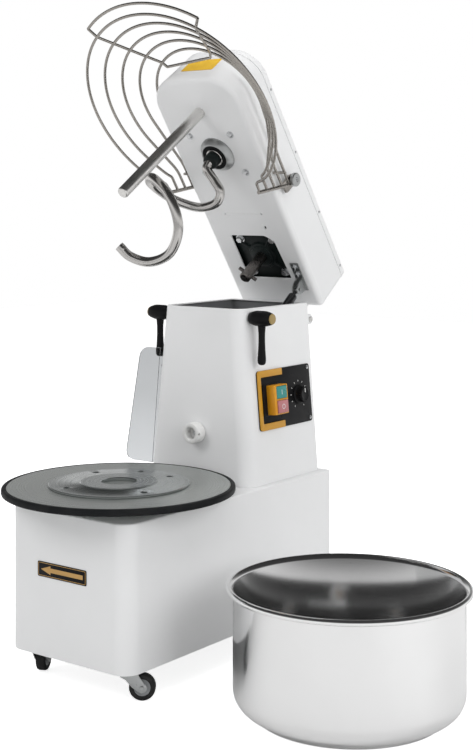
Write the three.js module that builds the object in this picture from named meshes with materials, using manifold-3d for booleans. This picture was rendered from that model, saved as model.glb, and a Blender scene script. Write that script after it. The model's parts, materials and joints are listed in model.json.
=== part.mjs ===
// Spiral dough mixer with a tilting head and a lift-out bowl.
// Millimetres, +Z up. The mixer is drawn about its turntable axis: X to the operator's right,
// Y towards the back, floor at z = 0. The head is drawn closed and then swung up on its hinge.
import * as THREE from 'three';
import { mergeVertices } from 'three/addons/utils/BufferGeometryUtils.js';
import Module from 'manifold-3d';

const wasm = await Module();
wasm.setup();

// ---------------------------------------------------------------- driving dimensions
const SEAT = 0.3;                 // gap between two pieces that touch
const RUNNING = 0.6;              // gap round anything that turns or slides

const WHEEL_RADIUS = 25;
const WHEEL_WIDTH = 20;
const CASTER_TRAIL = WHEEL_RADIUS + 2;
const CASTER_ANGLES = { front_right: 37, front_left: 117, back_right: 60, back_left: 100 };

const BASE_HALF_WIDTH = 156;
const BASE_FRONT = -151;
const BASE_BACK = 522;
const BASE_BOTTOM = WHEEL_RADIUS * 2 + 9;
const BASE_TOP = BASE_BOTTOM + 278;
const BASE_CORNER = 36;
const SHEET = 2;                  // folded steel sheet
const BASE_PLATE = 3;
const CASTER_X = BASE_HALF_WIDTH - 40;
const CASTER_FRONT = BASE_FRONT + 47;
const CASTER_BACK = BASE_BACK - 47;

const DISC_RADIUS = 230;
const DISC_TOP = BASE_TOP + 33;
const DISC_THICK = 7;

const COLUMN_TOP = BASE_TOP + 366;
const COLUMN_HALF_FOOT = 139.4;
const COLUMN_HALF_TOP = 106.6;
const COLUMN_FRONT_FOOT = DISC_RADIUS + 13.7;
const COLUMN_FRONT_TOP = COLUMN_FRONT_FOOT + 11.1;
const COLUMN_BACK_FOOT = BASE_BACK - 21.5;
const COLUMN_BACK_TOP = BASE_BACK - 16.2;
const COLUMN_CORNER = 32;
const COLUMN_BACK_CORNER = 8;

const TRIM_WIDTH = 10;
const TRIM_HEIGHT = 13;
const HUB_RADIUS = 139;
const HUB_PLATE = 4;
const HUB_STEP_RADIUS = 76.5;
const HUB_STEP = 2.5;
const HUB_HOLE_RADIUS = 35;
const LUG_HOLE_RADIUS = 6.5;
const LUG_CIRCLE = HUB_RADIUS - 27;
const LUG_ANGLES = [67, 109, 157, 247, 337];
const TURNTABLE_SHAFT_RADIUS = 17;

const BAR_RADIUS = 12;
const BAR_LENGTH = 300;
const BAR_STUD_RADIUS = 7;
const SPINDLE_Y = 106;            // breaker bar stands on the turntable axis, y = 0
const SPINDLE_RADIUS = 20;
const HOOK_WIRE_RADIUS = 10;
// Spiral centre line: angle round the spindle, radius, depth under the head.
const HOOK_STATIONS = [
  [-150, 0, 27], [-150, 5, 35], [-112, 12, 45], [-70, 36, 55], [-66, 59, 65], [-82, 76, 76], [-107, 82, 88],
  [-132, 80, 101], [-160, 76, 120],
  [-205, 74, 153], [-257, 69, 190], [-311, 65, 226], [-364, 63, 258], [-414, 63, 284],
  [-460, 65, 300], [-497, 69, 307], [-523, 74, 305],
];

const HEAD_GAP = 1;
const HEAD_BOTTOM = COLUMN_TOP + HEAD_GAP;
const HEAD_NOSE = -79;
const HEAD_BACK = BASE_BACK - 1;
const HEAD_HALF_BOTTOM = 113;
const HEAD_HALF_TOP = HEAD_HALF_BOTTOM - 6;
const HEAD_NOSE_CORNER = 66;
const HEAD_BACK_CORNER = 12;
const HEAD_SEAM = 108;            // height of the lower shell
const HEAD_HEIGHT = 127.6;
const HEAD_WALL = 3;
const HEAD_EDGE = 12;             // rounding of the underside edge

const HINGE_Y = HEAD_BACK + 2;
const HINGE_Z = COLUMN_TOP - 38.5;
const HINGE_PIN_RADIUS = 6;
const HINGE_BARREL = HINGE_PIN_RADIUS + 5;
const HINGE_HALF_WIDTH = 100;
const HINGE_KNUCKLE = 34;
const HEAD_RAISED = 55;           // degrees, the rest pose

const DRIVE_Y = 383;
const GEAR_OPENING_FRONT = DRIVE_Y - 60;
const GEAR_OPENING_BACK = DRIVE_Y + 59;
const GEAR_OPENING_HALF = 60;
const DRIVE_RADIUS = 12.5;
const DRIVE_REACH = 78;           // below the head's underside
const CROSS_PIN_RADIUS = 4;
const CROSS_PIN_LENGTH = 47;
const CROSS_PIN_DEPTH = 62;
const CHAIN_Z = HEAD_BOTTOM + 68;
const SPROCKET_HEIGHT = 8;
const SMALL_SPROCKET = 30;
const BIG_SPROCKET = 80;
const CHAIN_BAND = 9;
const CHAIN_SEAT = 1.5;             // lets the many-sided run clear its round sprockets

const GUARD_WIRE = 3;             // radius
const GUARD_RODS = 5;
const GUARD_PIVOT_Y = 210;
const GUARD_PIVOT_Z = HEAD_BOTTOM + 53;
const GUARD_PIVOT_RADIUS = 6;
const GUARD_SIDE = HEAD_HALF_BOTTOM + 9;   // half the distance between the two carrier bars
const GUARD_INNER_RADIUS = HEAD_HALF_BOTTOM + 20;
const GUARD_OUTER_RADIUS = GUARD_INNER_RADIUS + 96;
const GUARD_INNER_FRONT = HEAD_NOSE - 53;
const GUARD_OUTER_FRONT = GUARD_INNER_FRONT - 136;
const GUARD_OUTER_DEPTH = -58;    // from the head's underside
const GUARD_INNER_DEPTH = 40;
const GUARD_OUTER_END = 163;      // where the straight legs meet the carrier bar
const GUARD_INNER_END = 217;
const GUARD_OUTER_BEND = 142;     // where the legs begin
const GUARD_INNER_BEND = 139;
const GUARD_TURN_IN = 64;         // the outer wires leave their arc this far before the bend
const GUARD_RIB_ANGLE = 35;
const GUARD_RIB_INNER = { right: 25, left: 38 };
const GUARD_LIP_OUT = 25;
const GUARD_CHORD = 14;           // the cross wire behind the nose lies this far inside the inner ring
const GUARD_TIE = [160, 6, 184, 42];   // short bar across the inner legs: y, depth to y, depth
const GUARD_EAR = 13;             // half width and end radius of the pivot ear
const GUARD_EAR_HALF = 2;
const GUARD_HUB_RADIUS = 15;
const GUARD_BOSS_RADIUS = 8;

const BOWL_X = 478;
const BOWL_Y = 92;
const BOWL_HEIGHT = 233;
const BOWL_RIM_RADIUS = 224.5;
const BOWL_RADIUS = 211.5;
const BOWL_BEAD = 5.5;
const BOWL_CORNER = 38;
const BOWL_WALL = 2;
const BOWL_FOOT_RADIUS = BOWL_RADIUS - BOWL_CORNER + 1.5;
const BOWL_FLOOR = 8;

const PANEL_FRONT = COLUMN_FRONT_FOOT + 48.3;
const PANEL_BACK = COLUMN_BACK_FOOT - 14.5;
const PANEL_BOTTOM = COLUMN_TOP - 256;
const PANEL_TOP = PANEL_BOTTOM + 125;
const PANEL_THICK = 2;
const BEZEL_WIDTH = 88;
const BEZEL_BAND = 14;
const BEZEL_SIDE_BAND = 11;
const BEZEL_THICK = 2.5;
const SWITCH_Y = PANEL_FRONT + 44;
const SWITCH_Z = PANEL_BOTTOM + 62;
const SWITCH_WIDTH = 62;
const SWITCH_HEIGHT = 66;
const SWITCH_DEPTH = 24;
const BUTTON_WIDTH = 36;
const BUTTON_HEIGHT = 26;
const BUTTON_TRAVEL = 3;
const TIMER_Y = PANEL_BACK - 46;
const TIMER_Z = PANEL_BOTTOM + 62;
const KNOB_RADIUS = 17;
const KNOB_HEIGHT = 20;
const TIMER_SHAFT = 3;

const CLAMP_BARREL = 16;
const CLAMP_Y = COLUMN_FRONT_TOP + 33.2;
const CLAMP_Z = COLUMN_TOP - CLAMP_BARREL - 3;
const CLAMP_LENGTH = 54;
const CLAMP_ARM = 97;
const CLAMP_STUD = 5;

const BUMPER_Z = DISC_TOP + 70;
const BUMPER_RADIUS = 22;
const BUMPER_HOLE = 13;
const BUMPER_LENGTH = 24;
const BUMPER_STUD = 5.5;

const SPLASH_Y = COLUMN_FRONT_FOOT + 18.3;
const SPLASH_THICK = 3;
const SPLASH_BOTTOM = BASE_TOP + 21;
const SPLASH_TOP = COLUMN_TOP - 94;
const SPLASH_OUT_BOTTOM = 218;
const SPLASH_OUT_TOP = 172;
const SPLASH_FLANGE = 30;

const STRUT_X = 80;
const STRUT_HEAD = [HINGE_Y - 67, COLUMN_TOP - 19];     // eye on the head, closed
const STRUT_BASE = [COLUMN_FRONT_TOP + 60.2, COLUMN_TOP - 117];   // lower pivot in the column
const STRUT_RADIUS = 10;
const STRUT_ROD = 4;
const STRUT_BODY = 118;           // from the upper eye to the end of the cylinder
const STRUT_EYE = 9;

const LABEL = { x: -8.5, z: BASE_TOP - 111.5, width: 127, height: 29, thick: 0.8 };
const NOSE_LABEL = { half: 42, low: 40, high: 84, thick: 0.8 };

// further sizes, most of them following from those above
const BEARING_RADIUS = 55;
const DRIVE_WELL = 62;            // half width of the opening under the column
const GLAND_RADIUS = 9;
const GLAND_X = 46 - BASE_HALF_WIDTH;
const GLAND_Z = BASE_BOTTOM + 41;
const COVER_HALF = 80;
const COVER_BOTTOM = BASE_BOTTOM + 61;
const COVER_TOP = BASE_TOP - 47;
const FORK_CHEEK = 2.5;
const FORK_HALF = WHEEL_WIDTH / 2 + RUNNING + FORK_CHEEK;
const CASTER_PLATE = 3;
const LIP = 9;                    // inward fold round the column's mouth
const PANEL_Z = (PANEL_BOTTOM + PANEL_TOP) / 2;
const PANEL_HALF = (PANEL_TOP - PANEL_BOTTOM) / 2;
const CABINET_MARGIN = 14;
const COUPLING_TOP = HEAD_BOTTOM - CROSS_PIN_DEPTH + 14;
const COUPLING_BORE = CROSS_PIN_LENGTH / 2 + 3;
const COUPLING_WALL = 4;
const SHAFT_END = HEAD_BOTTOM - DRIVE_REACH;
const MOTOR_TOP = SHAFT_END - 66;
const MOTOR_BOTTOM = BASE_TOP + 8;
const MOTOR_RADIUS = 58;
const MOTOR_BORE = 9;
const LOWER_CHAIN_Z = BASE_TOP - 45;
const LOWER_SPROCKET = 32;
const TABLE_SPROCKET = 96;
const TRIM_BOTTOM = DISC_TOP - TRIM_HEIGHT;
const DISC_SEAT = DISC_RADIUS - TRIM_WIDTH;
const KNUCKLE_GAP = 1;
const BEARING_HOUSING = 41;
const SEAL_RADIUS = 29;
const SEAL_DROP = 14;             // bearing housing stands this far below the underside
const HOOK_HUB_END = 36;          // depth of the hook's hub under the head
const HEAD_TOP = HEAD_BOTTOM + HEAD_HEIGHT;
const STRUT_CHEEK = 2.5;
const STRUT_EYE_HALF = 4;

// ---------------------------------------------------------------- solids
const rad = THREE.MathUtils.degToRad;

function toSolid(geometry) {
  const g = geometry.clone();
  g.deleteAttribute('normal');
  g.deleteAttribute('uv');
  const m = mergeVertices(g, 1e-4);
  const index = m.index.array;
  const triVerts = [];
  for (let i = 0; i < index.length; i += 3) {
    const [a, b, c] = [index[i], index[i + 1], index[i + 2]];
    if (a !== b && b !== c && a !== c) triVerts.push(a, b, c);
  }
  return new wasm.Manifold(new wasm.Mesh({
    numProp: 3,
    vertProperties: new Float32Array(m.attributes.position.array),
    triVerts: new Uint32Array(triVerts),
  }));
}

function toGeometry(solid) {
  const mesh = solid.getMesh();
  const g = new THREE.BufferGeometry();
  g.setAttribute('position', new THREE.BufferAttribute(new Float32Array(mesh.vertProperties), 3));
  g.setIndex(new THREE.BufferAttribute(new Uint32Array(mesh.triVerts), 1));
  return g;
}

const join = (...parts) => parts.reduce((all, part) => all.add(part));
const cut = (body, ...tools) => tools.reduce((all, tool) => all.subtract(tool), body);

function block(x0, x1, y0, y1, z0, z1) {
  const g = new THREE.BoxGeometry(x1 - x0, y1 - y0, z1 - z0);
  return toSolid(g.translate((x0 + x1) / 2, (y0 + y1) / 2, (z0 + z1) / 2));
}

// Cylinder along an axis, from a to b on that axis; `at` gives the two other coordinates.
function rod(axis, radius, a, b, at, sides = 16, radiusB = radius) {
  const g = new THREE.CylinderGeometry(radiusB, radius, b - a, sides);
  if (axis === 'z') g.rotateX(Math.PI / 2).translate(at[0], at[1], (a + b) / 2);
  if (axis === 'y') g.translate(at[0], (a + b) / 2, at[1]);
  if (axis === 'x') g.rotateZ(-Math.PI / 2).translate((a + b) / 2, at[0], at[1]);
  return toSolid(g);
}

function turned(points, sides = 48) {
  const profile = points.map(([r, z]) => new THREE.Vector2(r, z));
  return toSolid(new THREE.LatheGeometry(profile, sides).rotateX(Math.PI / 2));
}

function sweep(curve, radius, steps, sides = 6) {
  const section = new THREE.Shape();
  for (let i = 0; i < sides; i += 1) {
    const a = (i / sides) * Math.PI * 2;
    const p = [radius * Math.cos(a), radius * Math.sin(a)];
    if (i === 0) section.moveTo(...p);
    else section.lineTo(...p);
  }
  section.closePath();
  return toSolid(new THREE.ExtrudeGeometry(section, { steps, bevelEnabled: false, extrudePath: curve }));
}

// Straight round bar between two points.
function bar(a, b, radius, sides = 8) {
  return sweep(new THREE.LineCurve3(new THREE.Vector3(...a), new THREE.Vector3(...b)), radius, 1, sides);
}

// Plan outline with its own corner radius at the front and at the back, counter-clockwise.
function outline({ half, front, back, frontCorner, backCorner, inset = 0, steps = 4 }) {
  const w = half - inset;
  const y0 = front + inset;
  const y1 = back - inset;
  const rf = Math.max(frontCorner - inset, 1);
  const rb = Math.max(backCorner - inset, 1);
  const corners = [[-w + rf, y0 + rf, rf, 180], [w - rf, y0 + rf, rf, 270], [w - rb, y1 - rb, rb, 0],
    [-w + rb, y1 - rb, rb, 90]];
  const points = [];
  for (const [cx, cy, r, start] of corners) {
    for (let i = 0; i <= steps; i += 1) {
      const a = rad(start + (90 * i) / steps);
      points.push([cx + r * Math.cos(a), cy + r * Math.sin(a)]);
    }
  }
  return points;
}

// Solid through outlines of equal point count at rising heights.
function loft(levels) {
  const count = levels[0].points.length;
  const vertices = levels.flatMap(({ z, points }) => points.flatMap(([x, y]) => [x, y, z]));
  const faces = [];
  for (let k = 0; k + 1 < levels.length; k += 1) {
    for (let i = 0; i < count; i += 1) {
      const j = (i + 1) % count;
      const [a, b, c, d] = [k * count + i, k * count + j, (k + 1) * count + j, (k + 1) * count + i];
      faces.push(a, b, c, a, c, d);
    }
  }
  const flat = (points) => points.map(([x, y]) => new THREE.Vector2(x, y));
  const last = (levels.length - 1) * count;
  const capFaces = (level) => THREE.ShapeUtils.triangulateShape(flat(level.points), []);
  for (const [a, b, c] of capFaces(levels[0])) faces.push(a, c, b);
  for (const [a, b, c] of capFaces(levels.at(-1))) faces.push(last + a, last + b, last + c);
  const g = new THREE.BufferGeometry();
  g.setAttribute('position', new THREE.Float32BufferAttribute(vertices, 3));
  g.setIndex(faces);
  return toSolid(g);
}

const prism = (shape, z0, z1) => loft([{ z: z0, points: shape }, { z: z1, points: shape }]);

// Band round two wheels on the Y axis line: the outline of a chain run.
function runOutline(y0, r0, y1, r1, steps = 12) {
  const lean = Math.asin((r1 - r0) / Math.abs(y1 - y0));
  const points = [];
  for (let i = 0; i <= steps; i += 1) {
    const a = Math.PI + lean + ((Math.PI - 2 * lean) * i) / steps;
    points.push([r0 * Math.cos(a), y0 + r0 * Math.sin(a)]);
  }
  for (let i = 0; i <= steps; i += 1) {
    const a = -lean + ((Math.PI + 2 * lean) * i) / steps;
    points.push([r1 * Math.cos(a), y1 + r1 * Math.sin(a)]);
  }
  return points;
}

function chain(front, frontRadius, back, backRadius, z0, z1) {
  const flip = frontRadius > backRadius;
  const make = (grow) => (flip
    ? runOutline(-back, backRadius + grow, -front, frontRadius + grow).map(([x, y]) => [-x, -y])
    : runOutline(front, frontRadius + grow, back, backRadius + grow));
  return cut(prism(make(CHAIN_BAND), z0, z1), prism(make(CHAIN_SEAT), z0 - 1, z1 + 1));
}

// ---------------------------------------------------------------- finishes and scene helpers
const finishes = {
  powderCoat: [0xf2f2f0, 0.45, 0], steel: [0xb9bbbd, 0.3, 1], zinc: [0xa7adb2, 0.45, 0.9],
  rubber: [0x17181a, 0.8, 0], blackPlastic: [0x141416, 0.5, 0], yellow: [0xe9a21c, 0.45, 0],
  orange: [0xf08a12, 0.45, 0], green: [0x2f9f8f, 0.4, 0], red: [0xc23b62, 0.4, 0],
  clear: [0xdfe8ea, 0.1, 0], nylon: [0xf5f5f5, 0.5, 0], castIron: [0x1c1d1f, 0.6, 0.4],
  disc: [0x8d9490, 0.4, 0.7],
};
const materials = Object.fromEntries(Object.entries(finishes).map(([name, [color, roughness, metalness]]) => (
  [name, new THREE.MeshStandardMaterial({ name, color, roughness, metalness })])));

function piece(parent, name, solid, finish) {
  const mesh = new THREE.Mesh(toGeometry(solid), materials[finish]);
  mesh.name = name;
  parent.add(mesh);
  return mesh;
}

// ---------------------------------------------------------------- base
const baseShape = (inset = 0) => outline({
  half: BASE_HALF_WIDTH, front: BASE_FRONT, back: BASE_BACK,
  frontCorner: BASE_CORNER, backCorner: COLUMN_BACK_CORNER, inset,
});

function buildBase(mixer) {
  const shell = cut(
    prism(baseShape(), BASE_BOTTOM, BASE_TOP),
    prism(baseShape(SHEET), BASE_BOTTOM - 1, BASE_TOP - SHEET),
    rod('z', BEARING_RADIUS + SEAT, BASE_TOP - 10, BASE_TOP + 10, [0, 0], 24),
    block(-DRIVE_WELL, DRIVE_WELL, DRIVE_Y - DRIVE_WELL, DRIVE_Y + DRIVE_WELL, BASE_TOP - 10, BASE_TOP + 10),
    rod('y', GLAND_RADIUS + SEAT, BASE_BACK - 10, BASE_BACK + 10, [GLAND_X, GLAND_Z], 16),
  );
  piece(mixer, 'base_housing', shell, 'powderCoat');
  piece(mixer, 'base_plate', prism(baseShape(SHEET + SEAT), BASE_BOTTOM, BASE_BOTTOM + BASE_PLATE), 'zinc');
  const gland = join(
    rod('y', GLAND_RADIUS, BASE_BACK - 12, BASE_BACK + SEAT + 1, [GLAND_X, GLAND_Z], 16),
    rod('y', GLAND_RADIUS + 4, BASE_BACK + SEAT, BASE_BACK + 10, [GLAND_X, GLAND_Z], 6),
    rod('y', GLAND_RADIUS, BASE_BACK + 9, BASE_BACK + 22, [GLAND_X, GLAND_Z], 16, GLAND_RADIUS - 3),
  );
  piece(mixer, 'cable_gland', gland, 'blackPlastic');
  const labelY = BASE_FRONT - SEAT;
  piece(mixer, 'direction_label', block(
    LABEL.x - LABEL.width / 2, LABEL.x + LABEL.width / 2, labelY - LABEL.thick, labelY,
    LABEL.z - LABEL.height / 2, LABEL.z + LABEL.height / 2,
  ), 'blackPlastic');
  const coverY = BASE_BACK + SEAT;
  piece(mixer, 'service_cover', block(-COVER_HALF, COVER_HALF, coverY, coverY + SHEET,
    COVER_BOTTOM, COVER_TOP), 'powderCoat');
}

// ---------------------------------------------------------------- casters
function buildCaster(mixer, name, x, y, angle) {
  const caster = new THREE.Group();
  caster.position.set(x, y, 0);
  caster.rotation.z = rad(angle);
  mixer.add(caster);
  const top = BASE_BOTTOM - SEAT - CASTER_PLATE;
  const crown = WHEEL_RADIUS * 2 + 2;
  const cheekShape = (side) => {
    const x0 = side > 0 ? FORK_HALF - FORK_CHEEK : -FORK_HALF;
    return join(
      block(-14, 20, x0, x0 + FORK_CHEEK, WHEEL_RADIUS + 8, crown + 2),
      block(CASTER_TRAIL - 9, CASTER_TRAIL + 9, x0, x0 + FORK_CHEEK, WHEEL_RADIUS - 8, WHEEL_RADIUS + 12),
    );
  };
  const swivel = join(
    rod('z', 27, top, BASE_BOTTOM - SEAT, [0, 0], 12),
    rod('z', 17, crown, top + 1, [0, 0], 12),
    block(-14, 20, -FORK_HALF, FORK_HALF, crown, crown + 2),
    cheekShape(1), cheekShape(-1),
    rod('y', 4, -FORK_HALF - 2, FORK_HALF + 2, [CASTER_TRAIL, WHEEL_RADIUS], 8),
  );
  piece(caster, `caster_fork_${name}`, swivel, 'zinc');
  const half = WHEEL_WIDTH / 2;
  const wheel = turned([[4 + RUNNING, -half], [WHEEL_RADIUS - 4, -half], [WHEEL_RADIUS, -half + 4],
    [WHEEL_RADIUS, half - 4], [WHEEL_RADIUS - 4, half], [4 + RUNNING, half], [4 + RUNNING, -half]], 20);
  const mesh = piece(caster, `caster_wheel_${name}`, wheel, 'rubber');
  mesh.rotation.x = Math.PI / 2;
  mesh.position.set(CASTER_TRAIL, 0, WHEEL_RADIUS);
}

// ---------------------------------------------------------------- column
const COLUMN_RISE = COLUMN_TOP - BASE_TOP;
const columnAt = (z, foot, top) => foot + ((z - BASE_TOP) / COLUMN_RISE) * (top - foot);
const columnHalf = (z) => columnAt(z, COLUMN_HALF_FOOT, COLUMN_HALF_TOP);
const columnFront = (z) => columnAt(z, COLUMN_FRONT_FOOT, COLUMN_FRONT_TOP);
const columnBack = (z) => columnAt(z, COLUMN_BACK_FOOT, COLUMN_BACK_TOP);
const SIDE_LEAN = Math.atan((COLUMN_HALF_FOOT - COLUMN_HALF_TOP) / COLUMN_RISE);
const columnShape = (z, inset) => ({ z, points: outline({
  half: columnHalf(z), front: columnFront(z), back: columnBack(z),
  frontCorner: COLUMN_CORNER, backCorner: COLUMN_BACK_CORNER, inset,
}) });

// Frame on the right wall: local x points out of the wall, y along it, z up it; origin at height z.
function wallFrame(parent, z) {
  const frame = new THREE.Group();
  frame.position.set(columnHalf(z), 0, z);
  frame.rotation.y = -SIDE_LEAN;
  parent.add(frame);
  return frame;
}

// The same placement for a solid drawn in the right wall's frame.
function onRightWall(solid, z) {
  const m = new THREE.Matrix4().makeRotationY(-SIDE_LEAN).setPosition(columnHalf(z), 0, z);
  return toSolid(toGeometry(solid).applyMatrix4(m));
}

function buildColumn(mixer) {
  const z0 = BASE_TOP + SEAT;
  const window = onRightWall(block(-20, 20, PANEL_FRONT + CABINET_MARGIN, PANEL_BACK - CABINET_MARGIN,
    -PANEL_HALF + CABINET_MARGIN, PANEL_HALF - CABINET_MARGIN), PANEL_Z);
  const shell = cut(
    loft([columnShape(z0, 0), columnShape(COLUMN_TOP, 0)]),
    loft([columnShape(z0 - 1, SHEET), columnShape(COLUMN_TOP - SHEET, SHEET)]),
    loft([columnShape(COLUMN_TOP - SHEET - 1, LIP), columnShape(COLUMN_TOP + 1, LIP)]),
    window,
    rod('x', CLAMP_STUD + RUNNING, -130, 130, [CLAMP_Y, CLAMP_Z], 16),
    rod('y', BUMPER_STUD + SEAT, COLUMN_FRONT_FOOT - 20, COLUMN_FRONT_FOOT + 30, [0, BUMPER_Z], 12),
  );
  piece(mixer, 'column_housing', shell, 'powderCoat');

  const wall = columnFront(BUMPER_Z - BUMPER_RADIUS) - SEAT;
  const bumper = join(
    cut(rod('y', BUMPER_RADIUS, wall - BUMPER_LENGTH, wall, [0, BUMPER_Z], 24),
      rod('y', BUMPER_HOLE, wall - BUMPER_LENGTH - 1, wall - 6, [0, BUMPER_Z], 18)),
    rod('y', BUMPER_STUD, wall - 7, wall + 10, [0, BUMPER_Z], 12),
  );
  piece(mixer, 'bowl_bumper', bumper, 'nylon');
}

function buildSplashGuard(mixer) {
  const inner = (z) => -columnHalf(z) - SEAT - 0.2;
  const wing = (z, out) => [[inner(z), SPLASH_Y], [inner(z), SPLASH_Y + SPLASH_THICK],
    [-out, SPLASH_Y + SPLASH_THICK], [-out, SPLASH_Y]];
  const flange = (z) => ({ z, points: [[inner(z), SPLASH_Y], [inner(z), SPLASH_Y + SPLASH_FLANGE],
    [inner(z) - SPLASH_THICK, SPLASH_Y + SPLASH_FLANGE], [inner(z) - SPLASH_THICK, SPLASH_Y]] });
  const plate = join(
    loft([{ z: SPLASH_BOTTOM, points: wing(SPLASH_BOTTOM, SPLASH_OUT_BOTTOM) },
      { z: SPLASH_TOP, points: wing(SPLASH_TOP, SPLASH_OUT_TOP) }]),
    loft([flange(SPLASH_BOTTOM), flange(SPLASH_TOP)]),
  );
  piece(mixer, 'splash_guard', plate, 'clear');
}

// ---------------------------------------------------------------- controls on the right wall
function buildControls(mixer) {
  const face = wallFrame(mixer, PANEL_Z);
  const x0 = SEAT;
  const x1 = x0 + PANEL_THICK;
  const holeHalf = [SWITCH_WIDTH / 2 - 12, SWITCH_HEIGHT / 2 - 12];
  const sz = SWITCH_Z - PANEL_Z;
  const tz = TIMER_Z - PANEL_Z;
  piece(face, 'control_panel', cut(
    block(x0, x1, PANEL_FRONT, PANEL_BACK, -PANEL_HALF, PANEL_HALF),
    block(x0 - 5, x1 + 5, SWITCH_Y - holeHalf[0] - SEAT, SWITCH_Y + holeHalf[0] + SEAT,
      sz - holeHalf[1] - SEAT, sz + holeHalf[1] + SEAT),
    rod('x', TIMER_SHAFT + 2, x0 - 5, x1 + 5, [TIMER_Y, tz], 16),
  ), 'blackPlastic');

  const b0 = x1 + SEAT;
  const b1 = b0 + BEZEL_THICK;
  const bezelBack = PANEL_FRONT + BEZEL_WIDTH;
  piece(face, 'panel_bezel', cut(
    block(b0, b1, PANEL_FRONT, bezelBack, -PANEL_HALF, PANEL_HALF),
    block(b0 - 1, b1 + 1, PANEL_FRONT + BEZEL_SIDE_BAND, bezelBack + 1, -PANEL_HALF + BEZEL_BAND,
      PANEL_HALF - BEZEL_BAND),
  ), 'yellow');

  const s1 = b0 + SWITCH_DEPTH;
  const pocket = BUTTON_TRAVEL + 6;
  const buttonY = SWITCH_Y + 8;
  const startZ = sz + BUTTON_HEIGHT / 2 + 2;
  const stopZ = sz - BUTTON_HEIGHT / 2 - 2;
  const well = (z) => block(s1 - pocket, s1 + 1, buttonY - BUTTON_WIDTH / 2 - RUNNING,
    buttonY + BUTTON_WIDTH / 2 + RUNNING, z - BUTTON_HEIGHT / 2 - RUNNING, z + BUTTON_HEIGHT / 2 + RUNNING);
  piece(face, 'switch_box', cut(join(
    block(b0, s1, SWITCH_Y - SWITCH_WIDTH / 2, SWITCH_Y + SWITCH_WIDTH / 2, sz - SWITCH_HEIGHT / 2,
      sz + SWITCH_HEIGHT / 2),
    block(x0 - 3, b0 + 1, SWITCH_Y - holeHalf[0], SWITCH_Y + holeHalf[0], sz - holeHalf[1], sz + holeHalf[1]),
  ), well(startZ), well(stopZ)), 'orange');
  const button = (z, proud) => block(s1 - pocket + BUTTON_TRAVEL + SEAT, s1 + proud,
    buttonY - BUTTON_WIDTH / 2, buttonY + BUTTON_WIDTH / 2, z - BUTTON_HEIGHT / 2, z + BUTTON_HEIGHT / 2);
  piece(face, 'start_button', button(startZ, 1), 'green');
  piece(face, 'stop_button', button(stopZ, 3), 'red');

  const inside = x0 - 3 - SEAT;
  piece(face, 'switch_body', block(inside - 38, inside, SWITCH_Y - holeHalf[0] + 1,
    SWITCH_Y + holeHalf[0] - 1, sz - holeHalf[1] + 1, sz + holeHalf[1] - 1), 'blackPlastic');
  piece(face, 'timer_body', cut(
    rod('x', 22, x0 - SEAT - 34, x0 - SEAT, [TIMER_Y, tz], 18),
    rod('x', TIMER_SHAFT + SEAT, x0 - SEAT - 15, x0 + 5, [TIMER_Y, tz], 12),
  ), 'blackPlastic');
  piece(face, 'timer_knob', join(
    rod('x', TIMER_SHAFT, x0 - 12, b0 + 2, [TIMER_Y, tz], 12),
    rod('x', KNOB_RADIUS + 4, x1 + RUNNING, x1 + RUNNING + 3, [TIMER_Y, tz], 20),
    rod('x', KNOB_RADIUS, x1 + RUNNING + 2, x1 + KNOB_HEIGHT, [TIMER_Y, tz], 28, KNOB_RADIUS - 2),
    block(x1 + 2, x1 + KNOB_HEIGHT + 1.5, TIMER_Y - 2, TIMER_Y + 2, tz, tz + KNOB_RADIUS - 3),
  ), 'blackPlastic');
}

// ---------------------------------------------------------------- clamp levers
function buildClamp(mixer, name, side) {
  const x0 = columnHalf(CLAMP_Z - CLAMP_BARREL) + SEAT;
  const x1 = x0 + CLAMP_LENGTH;
  const armX = x0 + CLAMP_LENGTH * 0.52;
  const arm = (z, w) => ({ z, points: [[armX - w / 2, CLAMP_Y - w / 2], [armX + w / 2, CLAMP_Y - w / 2],
    [armX + w / 2, CLAMP_Y + w / 2], [armX - w / 2, CLAMP_Y + w / 2]] });
  const lever = join(
    rod('x', CLAMP_STUD, columnHalf(CLAMP_Z) - 16, x0 + 2, [CLAMP_Y, CLAMP_Z], 12),
    rod('x', CLAMP_BARREL - 4, x0, x0 + 14, [CLAMP_Y, CLAMP_Z], 20, CLAMP_BARREL),
    rod('x', CLAMP_BARREL, x0 + 13, x1 - 14, [CLAMP_Y, CLAMP_Z], 20),
    rod('x', CLAMP_BARREL, x1 - 15, x1, [CLAMP_Y, CLAMP_Z], 20, CLAMP_BARREL - 4),
    loft([arm(CLAMP_Z - CLAMP_ARM, 17), arm(CLAMP_Z - CLAMP_ARM + 14, 15), arm(CLAMP_Z - 30, 13),
      arm(CLAMP_Z - 6, 16)]),
  );
  const cap = rod('x', CLAMP_BARREL - 5, x1 + SEAT, x1 + SEAT + 3, [CLAMP_Y, CLAMP_Z], 20);
  const flip = new THREE.Matrix4().makeRotationZ(Math.PI);
  const place = (solid) => {
    if (side > 0) return solid;
    const g = toGeometry(solid).translate(0, -CLAMP_Y, 0).applyMatrix4(flip).translate(0, CLAMP_Y, 0);
    return toSolid(g);
  };
  piece(mixer, `clamp_lever_${name}`, place(lever), 'blackPlastic');
  piece(mixer, `clamp_cap_${name}`, place(cap), 'yellow');
}

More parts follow.
